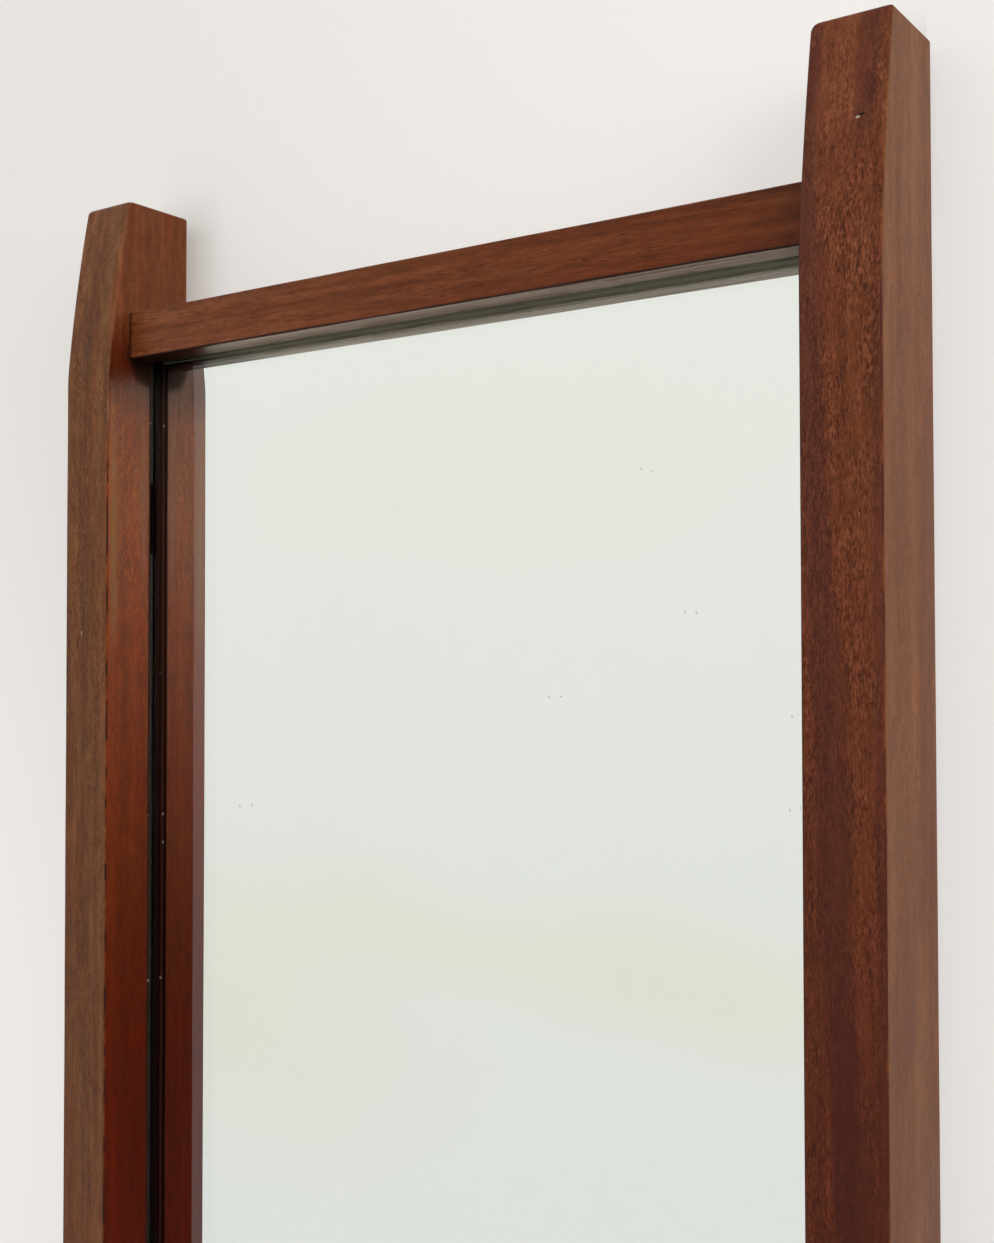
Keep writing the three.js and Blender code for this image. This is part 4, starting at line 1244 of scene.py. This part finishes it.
def plate_glass(name, finish):
    """Clear plate with a faint cast, a few specks, sparse dust, a pale dust film under the top rail
    that also glows there as painted light, and dull ground edges."""
    material, tree, shader, place = new_material(name)
    tint = rgba(finish.glass_tint)
    for across, up, width, height in GLASS_SPECKS:
        middle, size = (across, PLATE_LOW.y, up), (width, 0.001, height)
        speck = spot(tree, place, middle, size, inner=0.2, outer=1.2, breaks=1.5)
        tint = mix(tree, times(tree, speck, 0.75), tint, (0.22, 0.24, 0.21, 1.0))
    fine = dust(tree, place, 40.0, 0.010, 0.12)
    tint = mix(tree, times(tree, fine, 0.3), tint, (0.4, 0.42, 0.38, 1.0))
    x, _, z = axes(tree, place)
    streaks = noise(tree, place, (55.0, 1.0, 1500.0), 3.0, 0.65)
    settled_film_and_glow = times(
        tree,
        ramp(tree, z, -0.0124, -0.0112),
        ramp(tree, streaks, 0.40, 0.60, 0.15, 0.95),
        ramp(tree, x, -0.130, -0.090),
    )
    tint = mix(tree, settled_film_and_glow, tint, (0.26, 0.255, 0.205, 1.0))
    ground = ramp(tree, edge_value(tree), 0.2, 0.9)
    surface = {
        "Base Color": mix(tree, ground, tint, (0.42, 0.50, 0.45, 1.0)),
        "Roughness": times(tree, ground, 0.45),
        # Painted light: the dust film under the top rail glows faintly.
        "Emission Color": mix(tree, settled_film_and_glow, grey(0.0), (0.036, 0.033, 0.024, 1.0)),
        "Emission Strength": 1.0,
        "Transmission Weight": 1.0,
        "IOR": 1.52,
    }
    feed_all(tree, shader, surface)
    return material


def silvering(name, finish):
    """The reflecting layer: nearly even, with faint warm patches."""
    material, tree, shader, place = new_material(name)
    tint = rgba(finish.silver)
    warm = rgba([share * part for share, part in zip(WARM, finish.silver)])
    drift = shoved(tree, place, (9.0, 9.0, 22.0), (0.06, 0.0, 0.03))
    for across, up, width, height, power in SILVER_BLOOMS:
        middle, size = (across, PLATE_HIGH.y, up), (width, 0.1, height)
        bloom = spot(tree, drift, middle, size, inner=0.0, outer=1.4)
        tint = mix(tree, times(tree, bloom, power), tint, warm)
    cloud = noise(tree, place, (12.0, 12.0, 12.0), 3.0)
    tint = mix(tree, ramp(tree, cloud, 0.3, 0.75, 0.0, 0.035), tint, (0.7, 0.74, 0.7, 1.0))
    feed_all(tree, shader, {"Base Color": tint, "Metallic": 1.0, "Roughness": 0.0})
    return material


def wall_paint(name, tint):
    """Plain plaster wall, seen only from its front, so that the mirror's back can be looked at.

    Half of its colour answers to the light. The other half is a painted glow that is brighter low
    down and on the right, and darker close to the stiles' upper ends as their painted contact
    shade."""
    material, tree, shader, place = new_material(name)
    lumps = noise(tree, place, (140.0, 140.0, 140.0), 4.0, 0.6)
    cloud = noise(tree, place, (2.5, 2.5, 2.5))
    mottled = mix(tree, ramp(tree, cloud, 0.3, 0.7, 0.0, 0.04), rgba(tint), (0.6, 0.62, 0.6, 1.0))
    x, _, z = axes(tree, place)
    high = ramp(tree, z, -0.35, 0.08)
    on_left = mix(tree, high, grey(0.62), grey(0.49))
    on_right = mix(tree, high, grey(0.65), grey(0.58))
    glow = mix(tree, ramp(tree, x, -0.25, 0.19), on_left, on_right)
    # Painted contact shade on the glow beside the stiles' upper ends.
    beside = calc(tree, "ABSOLUTE", x)
    close = times(
        tree,
        ramp(tree, beside, 0.128, 0.150),
        calc(tree, "LESS_THAN", beside, 0.17),
        ramp(tree, z, 0.075, 0.045),
        calc(tree, "GREATER_THAN", z, 0.0),
    )
    glow = mix(tree, close, glow, (0.70, 0.68, 0.64, 1.0), "MULTIPLY")
    surface = {
        "Base Color": mix(tree, 1.0, mottled, grey(0.5), "MULTIPLY"),
        "Emission Color": mix(tree, 1.0, mottled, glow, "MULTIPLY"),
        "Emission Strength": 1.0,
        "Specular IOR Level": 0.2,
        "Roughness": 0.85,
        "Normal": bump(tree, lumps, 0.0006, 0.25),
    }
    feed_all(tree, shader, surface)
    output = next(node for node in tree.nodes if node.type == "OUTPUT_MATERIAL")
    front = output.inputs["Surface"].links[0].from_socket
    clear = put(tree, "ShaderNodeBsdfTransparent").outputs["BSDF"]
    behind = put(tree, "ShaderNodeNewGeometry").outputs["Backfacing"]
    either = put(tree, "ShaderNodeMixShader", {0: behind, 1: front, 2: clear})
    feed(tree, output.inputs["Surface"], either.outputs["Shader"])
    return material


def floor_paint(name, tint):
    """Plain matt floor with the faintest mottling."""
    material, tree, shader, place = new_material(name)
    cloud = noise(tree, place, (3.0, 3.0, 3.0), 3.0)
    pale = [min(1.0, 1.05 * part) for part in tint]
    tint = mix(tree, cloud, rgba(tint), rgba(pale))
    feed_all(tree, shader, {"Base Color": tint, "Roughness": 0.8})
    return material


# ------------------------------------------------------------------ operators


class PIERMIRROR_OT_stage(Operator):
    """Makes the camera, the wall, the floor and the light"""

    bl_idname = "pier_mirror.stage"
    bl_label = "Stage"

    def execute(self, context):
        stage = context.scene.pier_stage
        place_camera(context.scene, stage)
        light_room(context.scene, stage)
        wall_gap, floor_drop, reach, height = 0.0002, 0.25, 5.0, 2.2
        wall_y, floor_z = CAD_BOX[1].y + wall_gap, CAD_BOX[0].z - floor_drop
        wall = [(-reach, floor_z), (reach, floor_z), (reach, height), (-reach, height)]
        wall = [(x, wall_y, z) for x, z in wall]
        backdrop("stage_wall", wall, wall_paint("wall", stage.wall))
        floor = [(-reach, -reach), (reach, -reach), (reach, reach), (-reach, reach)]
        floor = [(x, y, floor_z) for x, y in floor]
        backdrop("stage_floor", floor, floor_paint("floor", stage.floor))
        near, far, low, high = (0.12, -0.90), (0.92, -0.36), -1.0, -0.16
        card = [(*near, low), (*far, low), (*far, high), (*near, high)]
        dark = plain_grain("card", (0.02, 0.02, 0.02), (0.03, 0.03, 0.03), (9.0, 9.0, 9.0), 0.9)
        backdrop("stage_card", card, dark, card=True)
        return {"FINISHED"}


def place_camera(scene, stage):
    """Stands the camera where the sizes say: yaw about Z, then pitch, then roll."""
    data = bpy.data.cameras.new("view")
    data.sensor_width = 36.0
    data.sensor_fit = "AUTO"
    data.lens = stage.lens
    data.clip_start = 0.02
    data.clip_end = 50.0
    camera = bpy.data.objects.new("view", data)
    level = Vector((math.cos(stage.yaw), math.sin(stage.yaw), 0.0))
    flat = math.cos(stage.pitch)
    ahead = Vector((-math.sin(stage.yaw) * flat, math.cos(stage.yaw) * flat, math.sin(stage.pitch)))
    upright = level.cross(ahead)
    right = level * math.cos(stage.roll) + upright * math.sin(stage.roll)
    up = upright * math.cos(stage.roll) - level * math.sin(stage.roll)
    turn = Matrix((right, up, -ahead)).transposed().to_4x4()
    camera.matrix_world = Matrix.Translation(Vector(stage.eye)) @ turn
    scene.collection.objects.link(camera)
    scene.camera = camera


SHADE_HEADING = Vector((0.6416, -0.5817, -0.5)).normalized()  # the middle of the low shade
BEHIND_WALL = (0.64, 0.62, 0.60, 1.0)
SEEN_ROOM = (0.84, 0.83, 0.82, 1.0)
DOUBLE_GLOSS = (0.98, 0.88, 0.77, 1.0)  # cast of what two glossy faces pass on
KEY_PLACE, KEY_AIM, KEY_SIZE = (1.75, -0.9, 0.35), (0.0, 0.0, -0.25), 1.3


def light_room(scene, stage):
    """A soft room: the world is a pale surround that is a little brighter above, and one large
    lamp stands in front on the right. The mirror's plain image of the room has tones of its own,
    and stays pale. Light that has met more than one face finds a shade low on the right."""
    world = bpy.data.worlds.new("room")
    scene.world = world
    world.use_nodes = True
    world.cycles.sampling_method = "NONE"
    tree = world.node_tree
    tree.nodes.clear()
    heading = put(tree, "ShaderNodeTexCoord").outputs["Generated"]
    _, y, z = axes(tree, heading)
    toward = vector_calc(tree, "DOT_PRODUCT", heading, tuple(SHADE_HEADING), result="Value")
    path = put(tree, "ShaderNodeLightPath").outputs
    bounced = calc(tree, "ADD", path["Diffuse Depth"], path["Glossy Depth"])
    second = calc(tree, "GREATER_THAN", calc(tree, "ADD", bounced, path["Diffuse Depth"]), 1.5)
    shade = times(tree, ramp(tree, toward, 0.766, 0.94, 0.0, stage.shade), second)
    shade = calc(tree, "SUBTRACT", 1.0, shade)
    level = times(tree, shade, ramp(tree, z, -0.6, 0.7, 0.88, 1.12))
    room = mix(tree, 1.0, rgba(stage.room), level, "MULTIPLY")
    high = ramp(tree, z, -0.35, 0.3)
    image = mix(tree, high, rgba(stage.image_low), rgba(stage.image_high))
    room = mix(tree, second, image, room)
    glossy_only = calc(tree, "LESS_THAN", path["Diffuse Depth"], 0.5)
    twice = times(tree, glossy_only, calc(tree, "GREATER_THAN", path["Glossy Depth"], 1.5))
    room = mix(tree, twice, room, DOUBLE_GLOSS, "MULTIPLY")
    around = mix(tree, ramp(tree, y, -0.02, 0.02), room, BEHIND_WALL)
    lit = mix(tree, path["Is Camera Ray"], around, SEEN_ROOM)
    background = put(tree, "ShaderNodeBackground", {"Color": lit, "Strength": 1.0})
    put(tree, "ShaderNodeOutputWorld", {"Surface": background.outputs["Background"]})
    lamp = bpy.data.lights.new("key", "AREA")
    lamp.shape = "RECTANGLE"
    lamp.size, lamp.size_y = KEY_SIZE, KEY_SIZE
    lamp.energy = stage.key_watts
    key = bpy.data.objects.new("key", lamp)
    key.location = KEY_PLACE
    aim = Vector(KEY_AIM) - Vector(key.location)
    key.rotation_euler = aim.to_track_quat("-Z", "Y").to_euler()
    key.visible_camera = False
    key.visible_glossy = False
    key.visible_transmission = False
    scene.collection.objects.link(key)
    scene.view_settings.view_transform = "Standard"


def backdrop(name, corners, material, card=False):
    """One flat stage surface. Only the camera sees it, unless it is a card, which the camera
    doesn't see and which only holds light off matt faces."""
    mesh = bpy.data.meshes.new(name)
    mesh.from_pydata(corners, [], [tuple(range(len(corners)))])
    mesh.materials.append(material)
    surface = bpy.data.objects.new(name, mesh)
    surface.visible_camera = not card
    surface.visible_diffuse = card
    surface.visible_glossy = False
    surface.visible_transmission = False
    surface.visible_shadow = card
    bpy.context.scene.collection.objects.link(surface)


class PIERMIRROR_OT_stiles(Operator):
    """Makes the two upright stiles"""

    bl_idname = "pier_mirror.stiles"
    bl_label = "Stiles"

    def execute(self, context):
        sizes, finish = context.scene.pier_sizes, context.scene.pier_finish
        heart, gathered_finish_and_shade, worn = finish.heart, finish.gathered_finish_and_shade, finish.worn
        gold_streak_and_light, pink_light = finish.gold_streak_and_light, (0.22, 0.085, 0.040)
        # The chips' near-black marks are cracks with their painted shadow.
        pale, crack_and_shadow = (0.42, 0.33, 0.26), (0.02, 0.006, 0.003)
        left = timber(
            "left_stile_timber",
            finish,
            (1.0, 0.0, 0.0),
            ((0.31, 0.17, 0.05), 0.6, 0.8, 0.9),
            ((1.04, 1.08, 1.02), (0.98, 0.97, 0.90), (1.3, 1.15, 1.2), 0.15),
            # Below the top rail the arrises take the finish-and-shade colour: a dark line, partly
            # old finish and partly painted shade.
            (worn, 0.12, gathered_finish_and_shade, 1.6),
            spots=[
                ((-0.1633, -0.0427, -0.1209), (0.00022, 0.004, 0.0008), pale, 0.9, 1.0, CHIP),
                ((-0.1657, -0.0427, -0.1250), (0.00030, 0.004, 0.0022), crack_and_shadow, 1.0, 1.0, CHIP),
                # Golden and pinkish patches on the inward face below the rail's shade: partly the
                # wood's streaks, partly painted light where that face is lit.
                ((-0.1480, -0.0393, -0.0850), (0.004, 0.0026, 0.0480), gold_streak_and_light, 0.85, 0.0, LIGHT_PATCH),
                ((-0.1480, -0.0235, -0.0650), (0.004, 0.0020, 0.0450), pink_light, 0.6, 0.0, LIGHT_PATCH),
                # A dark funnel in the corner under the rail: old finish and painted shade.
                ((-0.1480, -0.0195, -0.008), (0.006, 0.0125, 0.0125), gathered_finish_and_shade, 0.97, 0.97, FINISH_AND_SHADE_FUNNEL),
            ],
        )
        right = timber(
            "right_stile_timber",
            finish,
            (-1.0, 0.0, 0.0),
            ((0.0, 0.0, 0.0), 1.0, 0.6, 0.35),
            # The front's cast falls from the first tint to the second towards the lower end:
            # painted shade.
            ((0.92, 0.84, 0.94), (0.60, 0.36, 0.34), (1.22, 1.38, 1.08), 0.25),
            (heart, 0.7, heart, 1.7),
            stripes=[
                ((0.1676, 0.1660), (0.056, 0.015), 0.0020, 0.0025, 0.45, heart),
                ((0.1492, 0.1500), (0.060, -0.020), 0.0014, 0.0030, 0.45, heart),
                ((0.1500, 0.1620), (-0.010, -0.300), 0.0028, 0.0036, 0.55, heart),
                ((0.1620, 0.1640), (-0.300, -1.070), 0.0034, 0.0036, 0.55, heart),
                ((0.1718, 0.1714), (-0.030, -0.300), 0.0008, 0.0014, 0.40, heart),
            ],
            spots=[
                ((0.1646, -0.0395, 0.0226), (0.0006, 0.004, 0.0004), pale, 0.9, 1.0, CHIP),
                ((0.1656, -0.0395, 0.0232), (0.0011, 0.004, 0.00035), crack_and_shadow, 1.0, 1.0, CHIP),
            ],
        )
        for side, sign, ends, soft, look, seed in (
            ("left", -1.0, sizes.left_ends, sizes.soft_arris, left, 1.3),
            ("right", 1.0, sizes.right_ends, sizes.arris, right, 3.4),
        ):
            node = f"{side}_stile"
            shell = stile_shell(sizes, sign, ends, soft, seed)
            make_piece(f"{node}_wood", [shell], look, [node])
        return {"FINISHED"}


class PIERMIRROR_OT_rails(Operator):
    """Makes the top and bottom rails"""

    bl_idname = "pier_mirror.rails"
    bl_label = "Rails"

    def execute(self, context):
        sizes, finish = context.scene.pier_sizes, context.scene.pier_finish
        look = timber(
            "rail_timber",
            finish,
            (0.0, 0.0, 1.0),
            ((0.07, 0.9, 0.4), 0.3, 0.9, 0.3),
            ((0.92, 0.88, 0.82), (0.84, 0.68, 0.58)),
            (finish.worn, 0.5, finish.worn, 0.0),
            lying=True,
        )
        for end, up, seed in (("top", 1.0, 4.7), ("bottom", -1.0, 6.6)):
            node = f"{end}_rail"
            shell = rail_shell(sizes, node, up, seed)
            make_piece(f"{node}_wood", [shell], look, [node])
        return {"FINISHED"}


class PIERMIRROR_OT_plate(Operator):
    """Makes the mirror: clear plate, silvering and backing paint"""

    bl_idname = "pier_mirror.plate"
    bl_label = "Mirror Plate"

    def execute(self, context):
        finish = context.scene.pier_finish
        coat, gap, ground, ease = 0.00006, 0.00002, 0.0006, 0.00001
        low, high = tuple(PLATE_LOW), tuple(PLATE_HIGH)
        glass = slab_shell(low, (high[0], high[1] - 2 * (coat + gap), high[2]), ground, 1)
        left, right = low[0] + COAT_EDGE, high[0] - COAT_EDGE
        lower, upper = low[2] + COAT_EDGE, high[2] - COAT_EDGE
        silver_y, paint_y = high[1] - 2 * coat - gap, high[1] - coat
        silver = slab_shell((left, silver_y, lower), (right, silver_y + coat, upper), ease, 1)
        paint = slab_shell((left, paint_y, lower), (right, high[1], upper), ease, 1)
        dark = [0.6 * part for part in finish.backing_paint]
        backing = plain_grain("backing_paint", finish.backing_paint, dark, (60.0, 60.0, 60.0), 0.6)
        for name, shell, look, sharp in (
            ("mirror_plate_glass", glass, plate_glass("plate_glass", finish), 20),
            ("mirror_silvering", silver, silvering("silvering", finish), 20),
            ("mirror_backing_paint", paint, backing, 34),
        ):
            make_piece(
                name, [shell], look, ["mirror_glass"], sharp=math.radians(sharp)
            )
        return {"FINISHED"}


class PIERMIRROR_OT_board(Operator):
    """Makes the backing board"""

    bl_idname = "pier_mirror.board"
    bl_label = "Backing Board"

    def execute(self, context):
        shell = slab_shell(*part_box("backing_board"), 0.0006, 4)
        look = hardboard("hardboard")
        make_piece("backing_board_sheet", [shell], look, ["backing_board"])
        return {"FINISHED"}


def restyle(node, look):
    """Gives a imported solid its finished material."""
    node.data.materials.clear()
    node.data.materials.append(look)


def screw_shells(seat, head_y, slot, slot_depth, length, turn):
    """A dome-headed wood screw that stands on a seat, as closed shells."""
    shells = screw_head_shell(seat, HEAD_RADIUS, head_y - seat[1], slot, slot_depth, turn)
    return shells + [screw_shank_shell(seat, SHANK_RADIUS, length, POINT_LENGTH)]


class PIERMIRROR_OT_buttons(Operator):
    """Makes the turn buttons and their screws"""

    bl_idname = "pier_mirror.buttons"
    bl_label = "Turn Buttons"

    def execute(self, context):
        sizes, finish = context.scene.pier_sizes, context.scene.pier_finish
        brass = metal("brass", finish.brass, 0.62, 0.34, (260.0, 260.0, 2600.0))
        for index, name in enumerate(BUTTON_NAMES):
            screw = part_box(f"{name}_screw")
            x, _, z = middle(*screw)
            low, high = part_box(name)
            tip_x, _, tip_z = middle(low, high)
            toward = Vector((tip_x - x, tip_z - z)).normalized()
            plate = button_shell((x, 0.0, z), low.y, high.y, toward)
            make_piece(f"{name}_plate", [plate], brass, [name])
            seat, turn = (x, high.y + BUTTON_CLEARANCE, z), 0.5 + 1.13 * index
            shells = screw_shells(seat, screw[1].y, sizes.slot, *BUTTON_SCREW, turn)
            make_piece(f"{name}_wood_screw", shells, brass, [f"{name}_screw"])
        return {"FINISHED"}


class PIERMIRROR_OT_hangers(Operator):
    """Makes the hanger rings and their plates' screws"""

    bl_idname = "pier_mirror.hangers"
    bl_label = "Hangers"

    def execute(self, context):
        sizes, finish = context.scene.pier_sizes, context.scene.pier_finish
        steel = metal("plated_steel", finish.steel, 0.75, 0.3, (900.0, 900.0, 900.0))
        for side in SIDES:
            ring_node = f"{side}_hanger_ring"
            low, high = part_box(ring_node)
            x, y, _ = middle(low, high)
            half = (high.x - low.x) / 2 - sizes.wire / 2
            leg = -low.z - sizes.wire / 2 - half
            ring = ring_shell((x, y, 0.0), sizes.wire, half, leg, 0.0018)
            make_piece(f"{ring_node}_wire", [ring], steel, [ring_node])
            restyle(frame["nodes"][f"{side}_hanger_plate"], steel)
            for number in (1, 2):
                node = f"{side}_hanger_screw_{number}"
                low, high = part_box(node)
                screw_x, _, screw_z = middle(low, high)
                seat, turn = (screw_x, PLATE_FACE, screw_z), 0.8 * number + x * 9
                shells = screw_shells(seat, high.y, sizes.slot, *HANGER_SCREW, turn)
                make_piece(f"{node}_slotted", shells, steel, [node])
        return {"FINISHED"}


class PIERMIRROR_OT_bumpers(Operator):
    """Makes the rubber wall bumpers"""

    bl_idname = "pier_mirror.bumpers"
    bl_label = "Wall Bumpers"

    def execute(self, context):
        dark, darker = (0.035, 0.032, 0.030), (0.018, 0.016, 0.015)
        rubber = plain_grain("rubber", dark, darker, (500.0, 500.0, 500.0), 0.75)
        face, ease = 0.005, 0.0009
        turn = np.linspace(0, QUARTER, 8)
        for side in SIDES:
            node = f"{side}_wall_bumper"
            low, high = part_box(node)
            x, _, z = middle(low, high)
            base, rise = (high.x - low.x) / 2, high.y - low.y
            radii = np.concatenate([[0.0, base], face - ease + ease * np.cos(turn), [0.0]])
            heights = np.concatenate([[0.0, 0.0], rise - ease + ease * np.sin(turn), [rise]])
            shell = turned_shell(radii, heights, (x, low.y, z), 48)
            make_piece(f"{node}_rubber", [shell], rubber, [node])
        return {"FINISHED"}


class PIERMIRROR_OT_inner_pieces(Operator):
    """Makes the dowels and finishes the strips, blocks, spacers and fillets"""

    bl_idname = "pier_mirror.inner_pieces"
    bl_label = "Inner Pieces"

    def execute(self, context):
        beech = plain_grain("beech", *BEECH)
        cork = plain_grain("cork", *CORK)
        finishes = {
            "fillet": plain_grain("pine", *PINE),
            "block": cork,
            "spacer": cork,
            # The strips' felt is near black: its own dark colour, and painted shade of the rebate
            # it lies in.
            "strip": felt("felt", (0.016, 0.005, 0.004), (0.06, 0.016, 0.012)),
            # The top strip's felt is pale: dust, and painted light where it lies in deep shade.
            "top_seating_strip": felt("dusty_felt_and_painted_light", (0.10, 0.10, 0.085), (0.46, 0.46, 0.40)),
        }
        for name, node in frame["nodes"].items():
            if "dowel" in name:
                shell = dowel_shell(*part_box(name))
                make_piece(f"{name}_fluted", [shell], beech, [name])
            for word, look in finishes.items():
                if word in name:
                    restyle(node, look)
        return {"FINISHED"}


class PIERMIRROR_PT_panel(Panel):
    """Lists the mirror's pieces and stage"""

    bl_idname = "PIERMIRROR_PT_panel"
    bl_label = "Pier Mirror"
    bl_space_type = "VIEW_3D"
    bl_region_type = "UI"
    bl_category = "Pier Mirror"

    def draw(self, context):
        for piece in OPERATORS:
            self.layout.operator(piece.bl_idname)
        for group in ("pier_sizes", "pier_finish", "pier_stage"):
            values = getattr(context.scene, group)
            box = self.layout.box()
            for name in values.__annotations__:
                box.prop(values, name)


OPERATORS = (
    PIERMIRROR_OT_stage,
    PIERMIRROR_OT_stiles,
    PIERMIRROR_OT_rails,
    PIERMIRROR_OT_plate,
    PIERMIRROR_OT_board,
    PIERMIRROR_OT_buttons,
    PIERMIRROR_OT_hangers,
    PIERMIRROR_OT_bumpers,
    PIERMIRROR_OT_inner_pieces,
)
GROUPS = {
    "pier_sizes": PIERMIRROR_PG_sizes,
    "pier_finish": PIERMIRROR_PG_finish,
    "pier_stage": PIERMIRROR_PG_stage,
}


def register():
    for group in GROUPS.values():
        bpy.utils.register_class(group)
    for name, group in GROUPS.items():
        setattr(bpy.types.Scene, name, PointerProperty(type=group))
    for operator in OPERATORS:
        bpy.utils.register_class(operator)
    bpy.utils.register_class(PIERMIRROR_PT_panel)


def unregister():
    bpy.utils.unregister_class(PIERMIRROR_PT_panel)
    for operator in reversed(OPERATORS):
        bpy.utils.unregister_class(operator)
    for name, group in GROUPS.items():
        delattr(bpy.types.Scene, name)
        bpy.utils.unregister_class(group)


def main():
    """Builds every piece in order."""
    register()
    bpy.ops.pier_mirror.stage()
    bpy.ops.pier_mirror.stiles()
    bpy.ops.pier_mirror.rails()
    bpy.ops.pier_mirror.plate()
    bpy.ops.pier_mirror.board()
    bpy.ops.pier_mirror.buttons()
    bpy.ops.pier_mirror.hangers()
    bpy.ops.pier_mirror.bumpers()
    bpy.ops.pier_mirror.inner_pieces()


if __name__ == "__main__":
    main()
